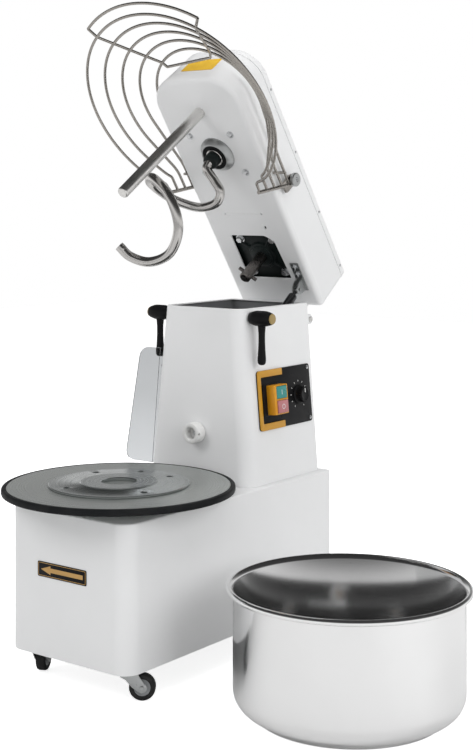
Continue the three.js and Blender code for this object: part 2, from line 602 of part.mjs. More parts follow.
// ---------------------------------------------------------------- drive in the base and column
function buildDrive(mixer) {
  const foot = [];
  for (const side of [-1, 1]) {
    const reach = columnHalf(MOTOR_BOTTOM + 20) - SHEET - SEAT;
    const [a, b] = side > 0 ? [40, reach] : [-reach, -40];
    foot.push(block(a, b, DRIVE_Y - 20, DRIVE_Y + 20, MOTOR_BOTTOM + 10, MOTOR_BOTTOM + 20));
  }
  const motor = cut(join(
    rod('z', MOTOR_RADIUS, MOTOR_BOTTOM, MOTOR_TOP, [0, DRIVE_Y], 20),
    block(-MOTOR_RADIUS - 8, MOTOR_RADIUS + 8, DRIVE_Y - 40, DRIVE_Y + 40, MOTOR_BOTTOM, MOTOR_BOTTOM + 60),
    ...foot,
  ), rod('z', MOTOR_BORE + RUNNING, MOTOR_BOTTOM - 5, MOTOR_TOP + 5, [0, DRIVE_Y], 20));
  piece(mixer, 'gear_motor', motor, 'castIron');

  const outer = COUPLING_BORE + COUPLING_WALL;
  const dog = (angle) => {
    const g = toGeometry(block(14, COUPLING_BORE + 1, -4, 4, SHAFT_END - 6, SHAFT_END + 2));
    return toSolid(g.rotateZ(rad(angle)).translate(0, DRIVE_Y, 0));
  };
  const cup = cut(rod('z', outer, MOTOR_TOP + 8, COUPLING_TOP, [0, DRIVE_Y], 20),
    rod('z', COUPLING_BORE, SHAFT_END - 8, COUPLING_TOP + 1, [0, DRIVE_Y], 20));
  piece(mixer, 'drive_coupling', join(cup,
    rod('z', MOTOR_BORE, LOWER_CHAIN_Z + SPROCKET_HEIGHT + SEAT, MOTOR_TOP + 10, [0, DRIVE_Y], 20),
    rod('z', MOTOR_BORE + 5, LOWER_CHAIN_Z + SPROCKET_HEIGHT + SEAT, MOTOR_BOTTOM - RUNNING,
      [0, DRIVE_Y], 20),
    dog(20), dog(200)), 'steel');
  piece(mixer, 'drive_sprocket', rod('z', LOWER_SPROCKET, LOWER_CHAIN_Z, LOWER_CHAIN_Z + SPROCKET_HEIGHT,
    [0, DRIVE_Y], 18), 'zinc');
  piece(mixer, 'turntable_chain', chain(0, TABLE_SPROCKET, DRIVE_Y, LOWER_SPROCKET, LOWER_CHAIN_Z,
    LOWER_CHAIN_Z + SPROCKET_HEIGHT), 'zinc');
}

// ---------------------------------------------------------------- turntable
function buildTurntable(mixer) {
  const bearingTop = DISC_TOP - DISC_THICK - 8;
  const bearing = cut(join(
    rod('z', BEARING_RADIUS, LOWER_CHAIN_Z + SPROCKET_HEIGHT + RUNNING, bearingTop, [0, 0], 24),
    turned([[0, BASE_TOP + SEAT], [BEARING_RADIUS + 20, BASE_TOP + SEAT], [BEARING_RADIUS + 20, BASE_TOP + 6],
      [0, BASE_TOP + 6]], 24),
  ), rod('z', TURNTABLE_SHAFT_RADIUS + SEAT, BASE_TOP - 50, bearingTop + 5, [0, 0], 20));
  piece(mixer, 'turntable_bearing', bearing, 'castIron');

  const shaftTop = DISC_TOP - DISC_THICK - SEAT;
  piece(mixer, 'turntable_shaft', join(
    rod('z', TURNTABLE_SHAFT_RADIUS, LOWER_CHAIN_Z, shaftTop, [0, 0], 20),
    rod('z', 48, bearingTop + RUNNING, shaftTop, [0, 0], 24),
    rod('z', TABLE_SPROCKET, LOWER_CHAIN_Z, LOWER_CHAIN_Z + SPROCKET_HEIGHT, [0, 0], 32),
  ), 'zinc');

  const grip = DISC_TOP - DISC_THICK;
  piece(mixer, 'turntable_disc', turned([[0, grip], [DISC_SEAT, grip], [DISC_SEAT, DISC_TOP - 0.6],
    [DISC_SEAT - 1, DISC_TOP], [0, DISC_TOP]], 40), 'disc');
  piece(mixer, 'turntable_trim', turned([[DISC_SEAT + SEAT, TRIM_BOTTOM], [DISC_RADIUS - 2, TRIM_BOTTOM],
    [DISC_RADIUS, TRIM_BOTTOM + 3], [DISC_RADIUS, DISC_TOP - 3], [DISC_RADIUS - 3, DISC_TOP],
    [DISC_SEAT + SEAT, DISC_TOP], [DISC_SEAT + SEAT, TRIM_BOTTOM]], 40), 'rubber');

  const z0 = DISC_TOP + SEAT;
  const lugs = LUG_ANGLES.map((angle) => rod('z', LUG_HOLE_RADIUS, z0 - 5, z0 + 20,
    [LUG_CIRCLE * Math.cos(rad(angle)), LUG_CIRCLE * Math.sin(rad(angle))], 8));
  piece(mixer, 'hub_plate', cut(turned([[HUB_HOLE_RADIUS, z0], [HUB_RADIUS, z0],
    [HUB_RADIUS, z0 + HUB_PLATE - 1], [HUB_RADIUS - 1, z0 + HUB_PLATE], [HUB_STEP_RADIUS, z0 + HUB_PLATE],
    [HUB_STEP_RADIUS, z0 + HUB_PLATE + HUB_STEP], [HUB_HOLE_RADIUS, z0 + HUB_PLATE + HUB_STEP],
    [HUB_HOLE_RADIUS, z0]], 32), ...lugs), 'zinc');
}

// ---------------------------------------------------------------- hinge
function buildHinge(mixer, head) {
  const centre = [HINGE_Y, HINGE_Z];
  const bore = rod('x', HINGE_PIN_RADIUS + SEAT, -HINGE_HALF_WIDTH - 5, HINGE_HALF_WIDTH + 5, centre, 20);
  const inner = HINGE_HALF_WIDTH - HINGE_KNUCKLE;
  const z0 = HINGE_Z - 26;
  const z1 = HINGE_Z + 14;
  const wall = columnBack(z1) + SEAT;
  const ears = [];
  for (const [a, b] of [[-HINGE_HALF_WIDTH, -inner], [inner, HINGE_HALF_WIDTH]]) {
    ears.push(rod('x', HINGE_BARREL, a, b, centre, 20));
    ears.push(block(a, b, wall, HINGE_Y, HINGE_Z - HINGE_BARREL * 0.8, HINGE_Z + HINGE_BARREL * 0.8));
  }
  piece(mixer, 'column_hinge_bracket', cut(join(
    block(-HINGE_HALF_WIDTH, HINGE_HALF_WIDTH, wall, wall + 3.5, z0, z1), ...ears), bore), 'powderCoat');
  piece(mixer, 'hinge_pin', rod('x', HINGE_PIN_RADIUS, -HINGE_HALF_WIDTH - 3, HINGE_HALF_WIDTH + 3,
    centre, 20), 'steel');

  const half = inner - KNUCKLE_GAP;
  const back = HEAD_BACK + SEAT;
  piece(head, 'head_hinge_bracket', cut(join(
    rod('x', HINGE_BARREL, -half, half, centre, 20),
    block(-half, half, back, back + 5, HINGE_Z, HEAD_BOTTOM + 70)), bore), 'powderCoat');
}

// ---------------------------------------------------------------- head
const headShape = (z, inset, grow = 0) => {
  const half = HEAD_HALF_BOTTOM + ((z - HEAD_BOTTOM) / HEAD_HEIGHT) * (HEAD_HALF_TOP - HEAD_HALF_BOTTOM);
  return { z, points: outline({ half: half + grow, front: HEAD_NOSE, back: HEAD_BACK,
    frontCorner: HEAD_NOSE_CORNER, backCorner: HEAD_BACK_CORNER, inset }) };
};

function buildHeadShell(head) {
  const seam = HEAD_BOTTOM + HEAD_SEAM;
  const shell = cut(
    loft([headShape(HEAD_BOTTOM, HEAD_EDGE), headShape(HEAD_BOTTOM + 1.6, HEAD_EDGE * 0.5),
      headShape(HEAD_BOTTOM + 5, HEAD_EDGE * 0.17), headShape(HEAD_BOTTOM + HEAD_EDGE, 0),
      headShape(seam, 0)]),
    loft([headShape(HEAD_BOTTOM + HEAD_WALL, HEAD_EDGE), headShape(HEAD_BOTTOM + HEAD_EDGE, HEAD_WALL),
      headShape(seam + 1, HEAD_WALL)]),
    rod('z', BEARING_HOUSING + SEAT, HEAD_BOTTOM - 5, HEAD_BOTTOM + 10, [0, SPINDLE_Y], 24),
    rod('z', BAR_STUD_RADIUS + SEAT, HEAD_BOTTOM - 5, HEAD_BOTTOM + 10, [0, 0], 16),
    prism([[-GEAR_OPENING_HALF, GEAR_OPENING_FRONT], [GEAR_OPENING_HALF * 0.55, GEAR_OPENING_FRONT],
      [GEAR_OPENING_HALF * 0.9, GEAR_OPENING_FRONT + 14], [GEAR_OPENING_HALF, GEAR_OPENING_BACK],
      [-GEAR_OPENING_HALF, GEAR_OPENING_BACK]], HEAD_BOTTOM - 5, HEAD_BOTTOM + 10),
  );
  piece(head, 'head_housing', shell, 'powderCoat');
  const z0 = seam + SEAT;
  const cover = cut(
    loft([headShape(z0, 0, 1.2), headShape(HEAD_TOP - 8, 0, 1), headShape(HEAD_TOP - 2.4, 2.4, 1),
      headShape(HEAD_TOP, 8, 1)]),
    loft([headShape(z0 - 1, HEAD_WALL, 1), headShape(HEAD_TOP - 8, HEAD_WALL, 1),
      headShape(HEAD_TOP - HEAD_WALL, 8, 1)]),
  );
  piece(head, 'head_cover', cover, 'powderCoat');
  piece(head, 'nose_label', block(-NOSE_LABEL.half, NOSE_LABEL.half, HEAD_NOSE - SEAT - NOSE_LABEL.thick,
    HEAD_NOSE - SEAT, HEAD_BOTTOM + NOSE_LABEL.low, HEAD_BOTTOM + NOSE_LABEL.high), 'yellow');
}

function buildBreakerBar(head) {
  const top = HEAD_BOTTOM - SEAT;
  piece(head, 'breaker_bar', join(
    turned([[0, top - BAR_LENGTH], [BAR_RADIUS - 2, top - BAR_LENGTH], [BAR_RADIUS, top - BAR_LENGTH + 2],
      [BAR_RADIUS, top], [0, top]], 18),
    rod('z', BAR_STUD_RADIUS, top - 1, HEAD_BOTTOM + 22, [0, 0], 16)), 'steel');
  const nut = HEAD_BOTTOM + HEAD_WALL + SEAT;
  piece(head, 'breaker_bar_nut', cut(rod('z', 14, nut, nut + 11, [0, 0], 6),
    rod('z', BAR_STUD_RADIUS + SEAT, nut - 1, nut + 12, [0, 0], 16)), 'zinc');
}

function buildSpindle(head) {
  const at = [0, SPINDLE_Y];
  const low = HEAD_BOTTOM - SEAL_DROP;
  const flange = HEAD_BOTTOM + HEAD_WALL + SEAT;
  const top = HEAD_BOTTOM + 60;
  const housing = cut(join(
    rod('z', SEAL_RADIUS + 3, low, HEAD_BOTTOM - 2, at, 24, BEARING_HOUSING),
    rod('z', BEARING_HOUSING, HEAD_BOTTOM - 2.1, top, at, 24),
    rod('z', BEARING_HOUSING + 17, flange, flange + 8, at, 24),
  ), rod('z', SPINDLE_RADIUS + RUNNING, low - 1, top + 1, at, 20),
  rod('z', SEAL_RADIUS + SEAT, low - 1, low + 10, at, 24));
  piece(head, 'spindle_bearing', housing, 'zinc');
  piece(head, 'spindle_seal', cut(rod('z', SEAL_RADIUS, low + 1.5, low + 9.7, at, 24),
    rod('z', SPINDLE_RADIUS + RUNNING, low, low + 20, at, 20)), 'rubber');
  const end = HEAD_BOTTOM - SEAL_DROP - 2;
  piece(head, 'spindle_shaft', join(
    rod('z', SPINDLE_RADIUS, end, CHAIN_Z + SPROCKET_HEIGHT + 10, at, 20),
    rod('z', BIG_SPROCKET, CHAIN_Z, CHAIN_Z + SPROCKET_HEIGHT, at, 32)), 'steel');

  const centreLine = new THREE.CatmullRomCurve3(HOOK_STATIONS.map(([angle, r, depth]) => new THREE.Vector3(
    r * Math.cos(rad(angle)), SPINDLE_Y - r * Math.sin(rad(angle)), HEAD_BOTTOM - depth)));
  const hookTop = end - SEAT;
  piece(head, 'spiral_hook', join(
    sweep(centreLine, HOOK_WIRE_RADIUS, 50, 8),
    rod('z', SPINDLE_RADIUS - 3, HEAD_BOTTOM - HOOK_HUB_END, hookTop, at, 16)), 'steel');
}

function buildHeadDrive(head) {
  const at = [0, DRIVE_Y];
  const pinZ = HEAD_BOTTOM - CROSS_PIN_DEPTH;
  const diagonal = CROSS_PIN_LENGTH / 2 / Math.SQRT2;
  const plate = HEAD_BOTTOM + HEAD_WALL + 6;
  const bossLow = HEAD_BOTTOM + 1;
  const plateSolid = cut(join(
    block(-80, 80, GEAR_OPENING_FRONT - 15, GEAR_OPENING_BACK + 15, plate, plate + 8),
    rod('z', 34, bossLow, CHAIN_Z - 10, at, 20),
    ...[[-1, -1], [1, -1], [-1, 1], [1, 1]].flatMap(([i, j]) => [
      rod('z', 8, HEAD_BOTTOM + HEAD_WALL + SEAT, plate + 1, [i * 74, DRIVE_Y + j * 68], 12),
      rod('z', 8.5, plate - 5, plate + 1, [i * 44, DRIVE_Y + j * 45], 6)]),
  ), rod('z', DRIVE_RADIUS + RUNNING, bossLow - 2, CHAIN_Z, at, 18));
  piece(head, 'head_gear_plate', plateSolid, 'castIron');
  piece(head, 'head_drive_shaft', join(
    rod('z', DRIVE_RADIUS - 1.5, SHAFT_END, SHAFT_END + 3, at, 24, DRIVE_RADIUS),
    rod('z', DRIVE_RADIUS, SHAFT_END + 3, CHAIN_Z + SPROCKET_HEIGHT + 8, at, 18),
    rod('z', SMALL_SPROCKET, CHAIN_Z, CHAIN_Z + SPROCKET_HEIGHT, at, 18),
    bar([-diagonal, DRIVE_Y - diagonal, pinZ], [diagonal, DRIVE_Y + diagonal, pinZ], CROSS_PIN_RADIUS, 10),
  ), 'steel');
  piece(head, 'head_chain', chain(SPINDLE_Y, BIG_SPROCKET, DRIVE_Y, SMALL_SPROCKET, CHAIN_Z,
    CHAIN_Z + SPROCKET_HEIGHT), 'zinc');
}

// ---------------------------------------------------------------- gas strut
const raisedPoint = ([y, z]) => {
  const a = rad(-HEAD_RAISED);
  const [dy, dz] = [y - HINGE_Y, z - HINGE_Z];
  return [HINGE_Y + dy * Math.cos(a) - dz * Math.sin(a), HINGE_Z + dy * Math.sin(a) + dz * Math.cos(a)];
};

function buildStrut(mixer, head) {
  const cheekIn = STRUT_EYE_HALF + RUNNING;
  const cheekOut = cheekIn + STRUT_CHEEK;
  const [eyeY, eyeZ] = STRUT_HEAD;
  const under = HEAD_BOTTOM - SEAT;
  piece(head, 'strut_bracket', join(
    block(STRUT_X - cheekOut, STRUT_X + cheekOut + 8, eyeY - 60, eyeY + 15, under - STRUT_CHEEK, under),
    block(STRUT_X - cheekOut, STRUT_X - cheekIn, eyeY - 16, eyeY + 13, eyeZ - 10, under),
    block(STRUT_X + cheekIn, STRUT_X + cheekOut, eyeY - 16, eyeY + 13, eyeZ - 10, under),
    rod('x', 3.5, STRUT_X - cheekOut - 2, STRUT_X + cheekOut + 3, STRUT_HEAD, 12),
  ), 'zinc');

  const [topY, topZ] = raisedPoint(STRUT_HEAD);
  const [baseY, baseZ] = STRUT_BASE;
  const length = Math.hypot(baseY - topY, baseZ - topZ);
  const strut = new THREE.Group();
  strut.position.set(STRUT_X, topY, topZ);
  strut.rotation.x = Math.atan2(baseZ - topZ, baseY - topY) + Math.PI / 2;
  mixer.add(strut);
  const eye = (z) => rod('x', STRUT_EYE, -STRUT_EYE_HALF, STRUT_EYE_HALF, [0, z], 16);
  piece(strut, 'strut_cylinder', cut(join(
    eye(0), rod('z', STRUT_EYE_HALF, -24, -4, [0, 0], 10),
    rod('z', STRUT_RADIUS, -STRUT_BODY, -20, [0, 0], 20)),
  rod('x', 3.5 + SEAT, -10, 10, [0, 0], 16),
  rod('z', STRUT_ROD + SEAT, -STRUT_BODY - 1, -30, [0, 0], 14)), 'blackPlastic');
  piece(strut, 'strut_rod', join(
    eye(-length), rod('z', STRUT_ROD, -length + 4, -STRUT_BODY + 16, [0, 0], 14)), 'steel');

  const cheek = cheekIn + 1;
  const wall = columnHalf(baseZ + 18) - SHEET - SEAT - 0.1;
  piece(mixer, 'strut_base_bracket', join(
    block(STRUT_X + cheek, STRUT_X + cheek + STRUT_CHEEK, baseY - 24, baseY + 24, baseZ - 18, baseZ + 18),
    block(STRUT_X - cheek - STRUT_CHEEK, STRUT_X - cheek, baseY - 24, baseY + 24, baseZ - 18, baseZ + 18),
    block(STRUT_X - cheek - STRUT_CHEEK, STRUT_X + cheek + STRUT_CHEEK, baseY - 26, baseY - 22, baseZ - 18,
      baseZ + 18),
    block(STRUT_X + cheek, wall, baseY - 8, baseY + 8, baseZ + 2, baseZ + 18),
  ), 'zinc');
}

// ---------------------------------------------------------------- bowl guard
const spread = (i, outer, inner) => outer + (i / (GUARD_RODS - 1)) * (inner - outer);

// One guard wire in its own level plane: leg, turn in, arc round the front, turn in, leg.
function guardWire(i) {
  const radius = spread(i, GUARD_OUTER_RADIUS, GUARD_INNER_RADIUS);
  const centre = spread(i, GUARD_OUTER_FRONT, GUARD_INNER_FRONT) + radius;
  const end = spread(i, GUARD_OUTER_END, GUARD_INNER_END);
  const bend = spread(i, GUARD_OUTER_BEND, GUARD_INNER_BEND);
  const z = HEAD_BOTTOM + spread(i, GUARD_OUTER_DEPTH, GUARD_INNER_DEPTH);
  const reach = Math.hypot(GUARD_SIDE, bend - centre);
  const tangent = reach > radius * 1.03;
  const leave = tangent
    ? Math.atan2(bend - centre, GUARD_SIDE) - Math.acos(radius / reach)
    : Math.asin((bend - GUARD_TURN_IN * (radius / GUARD_OUTER_RADIUS) - centre) / radius);
  const onArc = (a) => [radius * Math.cos(a), centre + radius * Math.sin(a)];
  const half = [];                // from the front of the arc to the end of the right leg
  const arcSteps = 6;
  const turn = leave + Math.PI / 2;
  for (let k = 0; k <= arcSteps; k += 1) half.push(onArc(-Math.PI / 2 + (turn * k) / arcSteps));
  if (!tangent) {
    const [x, y] = onArc(leave);
    const pull = GUARD_TURN_IN * (radius / GUARD_OUTER_RADIUS);
    const [cx, cy] = [x - pull * Math.sin(leave), y + pull * Math.cos(leave)];
    for (const t of [0.35, 0.7]) {
      half.push([(1 - t) ** 2 * x + 2 * t * (1 - t) * cx + t * t * GUARD_SIDE,
        (1 - t) ** 2 * y + 2 * t * (1 - t) * cy + t * t * bend]);
    }
  }
  half.push([GUARD_SIDE, bend], [GUARD_SIDE, end]);
  const left = half.slice(1).map(([x, y]) => [-x, y]);
  const points = [...half.reverse(), ...left].map(([x, y]) => new THREE.Vector3(x, y, z));
  return { points, radius, centre, end, z };
}

// Round wire through a list of corner points, as one swept solid.
function bentWire(points, radius, sides = 6) {
  const up = new THREE.Vector3(0, 0, 1);
  const rings = points.map((p, i) => {
    const before = points[Math.max(i - 1, 0)];
    const after = points[Math.min(i + 1, points.length - 1)];
    const inward = i > 0 ? p.clone().sub(before).normalize() : after.clone().sub(p).normalize();
    const outward = i < points.length - 1 ? after.clone().sub(p).normalize() : inward;
    const along = inward.clone().add(outward).normalize();
    const stretch = 1 / Math.max(along.dot(inward), 0.5);
    const side = new THREE.Vector3().crossVectors(along, up).normalize();
    const lift = new THREE.Vector3().crossVectors(side, along).normalize();
    return Array.from({ length: sides }, (_, k) => {
      const a = (k / sides) * Math.PI * 2;
      return p.clone().addScaledVector(side, radius * stretch * Math.cos(a))
        .addScaledVector(lift, radius * Math.sin(a));
    });
  });
  const faces = [];
  for (let i = 0; i + 1 < rings.length; i += 1) {
    for (let k = 0; k < sides; k += 1) {
      const n = (k + 1) % sides;
      const [a, b, c, d] = [i * sides + k, i * sides + n, (i + 1) * sides + n, (i + 1) * sides + k];
      faces.push(a, c, b, a, d, c);
    }
  }
  const last = (rings.length - 1) * sides;
  for (let k = 1; k + 1 < sides; k += 1) faces.push(0, k, k + 1, last, last + k + 1, last + k);
  const g = new THREE.BufferGeometry();
  g.setAttribute('position', new THREE.Float32BufferAttribute(rings.flat().flatMap((v) => v.toArray()), 3));
  g.setIndex(faces);
  return toSolid(g);
}

function buildGuard(head) {
  const wires = Array.from({ length: GUARD_RODS }, (_, i) => guardWire(i));
  const [outer, inner] = [wires[0], wires.at(-1)];
  const solids = wires.map((wire) => bentWire(wire.points, GUARD_WIRE));
  const lipRadius = outer.radius + GUARD_LIP_OUT;
  const onRing = (wire, radius, degrees) => new THREE.Vector3(radius * Math.sin(rad(degrees)),
    wire.centre - radius * Math.cos(rad(degrees)), wire.z);
  const lip = [];
  const lipSteps = 6;
  for (let k = 0; k <= lipSteps; k += 1) {
    lip.push(onRing(outer, lipRadius, GUARD_RIB_ANGLE * (1 - (2 * k) / lipSteps)));
  }
  solids.push(bentWire(lip, GUARD_WIRE));
  const ribInner = (side) => (side > 0 ? GUARD_RIB_INNER.right : -GUARD_RIB_INNER.left);
  const chordEnd = (side) => onRing(inner, inner.radius - GUARD_CHORD, ribInner(side));
  for (const side of [1, -1]) {
    solids.push(bentWire([onRing(outer, lipRadius, side * GUARD_RIB_ANGLE),
      onRing(outer, outer.radius, side * GUARD_RIB_ANGLE), onRing(inner, inner.radius, ribInner(side)),
      chordEnd(side)], GUARD_WIRE));
    const x = side * GUARD_SIDE;
    solids.push(bar([x, outer.end + 1, outer.z - 4], [x, inner.end - 1, inner.z + 4], GUARD_WIRE + 1));
    solids.push(bar([x, GUARD_TIE[0], HEAD_BOTTOM + GUARD_TIE[1]],
      [x, GUARD_TIE[2], HEAD_BOTTOM + GUARD_TIE[3]], GUARD_WIRE));
    const [x0, x1] = [x - GUARD_EAR_HALF, x + GUARD_EAR_HALF];
    solids.push(cut(join(
      block(x0, x1, GUARD_PIVOT_Y - GUARD_EAR, GUARD_PIVOT_Y + GUARD_EAR, inner.z - 22, GUARD_PIVOT_Z),
      rod('x', GUARD_EAR, x0, x1, [GUARD_PIVOT_Y, GUARD_PIVOT_Z], 20)),
    rod('x', GUARD_PIVOT_RADIUS + SEAT, x0 - 3, x1 + 3, [GUARD_PIVOT_Y, GUARD_PIVOT_Z], 16)));
    const skin = headShape(GUARD_PIVOT_Z - 12, 0).points.reduce((m, [px]) => Math.max(m, px), 0) + SEAT;
    const centre = [GUARD_PIVOT_Y, GUARD_PIVOT_Z];
    const span = (a, b) => (side > 0 ? [a, b] : [-b, -a]);
    piece(head, `guard_pivot_${side > 0 ? 'right' : 'left'}`, join(
      rod('x', GUARD_BOSS_RADIUS, ...span(skin, GUARD_SIDE - GUARD_EAR_HALF - RUNNING), centre, 14),
      rod('x', GUARD_PIVOT_RADIUS, ...span(skin + 1, GUARD_SIDE + 6), centre, 14),
      rod('x', GUARD_HUB_RADIUS, ...span(GUARD_SIDE + 4 + RUNNING, GUARD_SIDE + 14), centre, 20),
    ), 'zinc');
  }
  solids.push(bar(chordEnd(-1).toArray(), chordEnd(1).toArray(), GUARD_WIRE, 6));
  piece(head, 'guard_basket', join(...solids), 'steel');
}

// ---------------------------------------------------------------- bowl
function buildBowl(mixer) {
  const arc = (cr, cz, r, from, to, steps) => Array.from({ length: steps + 1 }, (_, i) => {
    const a = rad(from + ((to - from) * i) / steps);
    return [cr + r * Math.cos(a), cz + r * Math.sin(a)];
  });
  const cr = BOWL_RADIUS - BOWL_CORNER;
  const cz = BOWL_FLOOR + BOWL_CORNER;
  const beadR = BOWL_RIM_RADIUS - BOWL_BEAD;
  const beadZ = BOWL_HEIGHT - BOWL_BEAD;
  const profile = [[0, BOWL_FLOOR], ...arc(cr, cz, BOWL_CORNER, 270, 360, 4), [BOWL_RADIUS, beadZ - 4],
    ...arc(beadR, beadZ, BOWL_BEAD, -120, 120, 4),
    [BOWL_RADIUS - BOWL_WALL, beadZ - 2],
    ...arc(cr, cz, BOWL_CORNER - BOWL_WALL, 360, 270, 4), [0, BOWL_FLOOR + BOWL_WALL]];
  const offset = BOWL_FOOT_RADIUS - cr;
  const footTop = cz - Math.sqrt(BOWL_CORNER ** 2 - offset ** 2) + 1;
  const foot = turned([[BOWL_FOOT_RADIUS - 3, 0], [BOWL_FOOT_RADIUS, 0], [BOWL_FOOT_RADIUS, footTop],
    [BOWL_FOOT_RADIUS - 3, footTop], [BOWL_FOOT_RADIUS - 3, 0]], 36);
  const bowl = piece(mixer, 'bowl', join(turned(profile, 36), foot), 'steel');
  bowl.position.set(BOWL_X, BOWL_Y, 0);
}

// ---------------------------------------------------------------- assembly
const mixer = new THREE.Group();
buildBase(mixer);
for (const [name, angle] of Object.entries(CASTER_ANGLES)) {
  const x = name.endsWith('right') ? CASTER_X : -CASTER_X;
  const y = name.startsWith('front') ? CASTER_FRONT : CASTER_BACK;
  buildCaster(mixer, name, x, y, angle);
}
buildColumn(mixer);
buildSplashGuard(mixer);
buildControls(mixer);
buildClamp(mixer, 'right', 1);
buildClamp(mixer, 'left', -1);
buildDrive(mixer);
buildTurntable(mixer);

// Everything in `head` is drawn closed; the tilt group swings it up about the hinge pin.
const tilt = new THREE.Group();
tilt.position.set(0, HINGE_Y, HINGE_Z);
tilt.rotation.x = rad(-HEAD_RAISED);
const head = new THREE.Group();
head.position.set(0, -HINGE_Y, -HINGE_Z);
tilt.add(head);
mixer.add(tilt);
buildHinge(mixer, head);
buildHeadShell(head);
buildBreakerBar(head);
buildSpindle(head);
buildHeadDrive(head);
buildStrut(mixer, head);
buildGuard(head);
buildBowl(mixer);

// The part's origin is the middle of the bottom of the whole object's bounding box.
const part = new THREE.Group();
part.add(mixer);
part.updateMatrixWorld(true);
const box = new THREE.Box3().setFromObject(part, true);
mixer.position.set(-(box.min.x + box.max.x) / 2, -(box.min.y + box.max.y) / 2, -box.min.z);
part.updateMatrixWorld(true);

export default part;
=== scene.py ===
import json
import math
from math import cos, pi, radians, sin

import bmesh
import bpy
from mathutils import Matrix, Vector


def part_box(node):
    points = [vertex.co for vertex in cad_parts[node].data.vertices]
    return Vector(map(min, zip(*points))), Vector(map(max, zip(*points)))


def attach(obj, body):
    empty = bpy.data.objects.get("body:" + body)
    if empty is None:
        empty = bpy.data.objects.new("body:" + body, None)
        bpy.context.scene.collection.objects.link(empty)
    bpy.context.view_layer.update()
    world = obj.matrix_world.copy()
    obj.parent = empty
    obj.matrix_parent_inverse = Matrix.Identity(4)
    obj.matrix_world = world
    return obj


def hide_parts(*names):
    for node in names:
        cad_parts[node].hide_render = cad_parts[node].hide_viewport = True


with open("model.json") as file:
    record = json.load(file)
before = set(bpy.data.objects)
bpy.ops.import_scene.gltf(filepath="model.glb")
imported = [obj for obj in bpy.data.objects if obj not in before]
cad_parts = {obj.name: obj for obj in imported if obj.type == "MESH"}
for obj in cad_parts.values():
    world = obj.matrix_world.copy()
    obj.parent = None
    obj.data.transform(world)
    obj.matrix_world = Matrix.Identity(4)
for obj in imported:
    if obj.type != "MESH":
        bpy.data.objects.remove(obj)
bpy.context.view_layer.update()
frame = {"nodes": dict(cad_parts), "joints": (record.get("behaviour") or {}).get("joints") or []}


# ---- objects, nodes and turns
def addObject(name, data):
    thing = bpy.data.objects.new(name, data)
    bpy.context.scene.collection.objects.link(thing)
    return thing


def addNode(tree, kind, values=None, **settings):
    node = tree.nodes.new(kind)
    for key, value in settings.items():
        setattr(node, key, value)
    for key, value in (values or {}).items():
        node.inputs[key].default_value = value
    return node


def plug(tree, *wires):
    # a wire is (node, output, node, input)
    for source, output, target, into in wires:
        tree.links.new(source.outputs[output], target.inputs[into])


def rotate(degrees, axis):
    return Matrix.Rotation(radians(degrees), 4, axis)


toX = rotate(90, "Y")       # turns a shape drawn along Z to lie along X
toBack = rotate(-90, "X")   # along +Y
toFront = rotate(90, "X")   # along -Y
# carries a shape drawn flat in XY to stand in the YZ plane, its thickness along X
upright = Matrix(((0, 0, 1, 0), (1, 0, 0, 0), (0, 1, 0, 0), (0, 0, 0, 1)))


# ---- places; the mixer is drawn in millimetres about its turntable axis with its head closed, and then
# it is set down on the stand or swung up with the head
discLow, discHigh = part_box("turntable_disc")
joints = {joint["name"]: joint for joint in frame["joints"]}
hingePlace = Vector(joints["head_tilt"]["pos_m"])
headAngle = joints["head_tilt"]["range_deg"][1]
axisPlace = Vector(((discLow.x + discHigh.x) / 2, (discLow.y + discHigh.y) / 2, 0))
bowlLow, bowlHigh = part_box("bowl")
bowlCentre = [((bowlLow[i] + bowlHigh[i]) / 2 - axisPlace[i]) * 1000 for i in (0, 1)]

stand = Matrix.Translation(axisPlace) @ Matrix.Scale(0.001, 4)
hingeLine = Vector((0, (hingePlace.y - axisPlace.y) * 1000, hingePlace.z * 1000))
raised = stand @ Matrix.Translation(hingeLine) @ rotate(-headAngle, "X") @ Matrix.Translation(-hingeLine)
print("frame loaded:", len(frame["nodes"]), "nodes")


# ---- camera and light
view = {"reach": (1.8537, -2.0584, 0.9352), "turn": 37.207, "lens": 66.82, "lower": -0.2379}


def makeCamera():
    data = bpy.data.cameras.new("camera")
    data.lens = view["lens"]
    data.sensor_width = 36
    data.shift_y = view["lower"]
    data.clip_end = 60
    camera = addObject("camera", data)
    camera.location = axisPlace + Vector(view["reach"])
    camera.rotation_euler = (radians(90), 0, radians(view["turn"]))
    bpy.context.scene.camera = camera


makeCamera()

lamps = [
    {"name": "keyLamp", "place": (-1.6, -2.6, 2.6), "aim": (-0.2, -0.1, 0.6), "size": 1.6, "power": 30},
    {"name": "fillLamp", "place": (2.8, -0.6, 1.7), "aim": (0, 0, 0.5), "size": 1.8, "power": 34},
    {"name": "topLamp", "place": (0.1, 0.3, 3.4), "aim": (0, 0, 0), "size": 2.4, "power": 28},
    {"name": "backLamp", "place": (-1.5, 2.4, 2.2), "aim": (0, 0, 0.7), "size": 1.6, "power": 22},
]


# height in the room, 0 at the floor side and 1 overhead, and how bright it is there
roomTones = [(0.0, 0.65), (0.46, 0.92), (0.56, 0.95), (0.62, 0.25), (0.70, 0.06), (1.0, 0.04)]
roomGlow = 0.5      # even light on matt surfaces


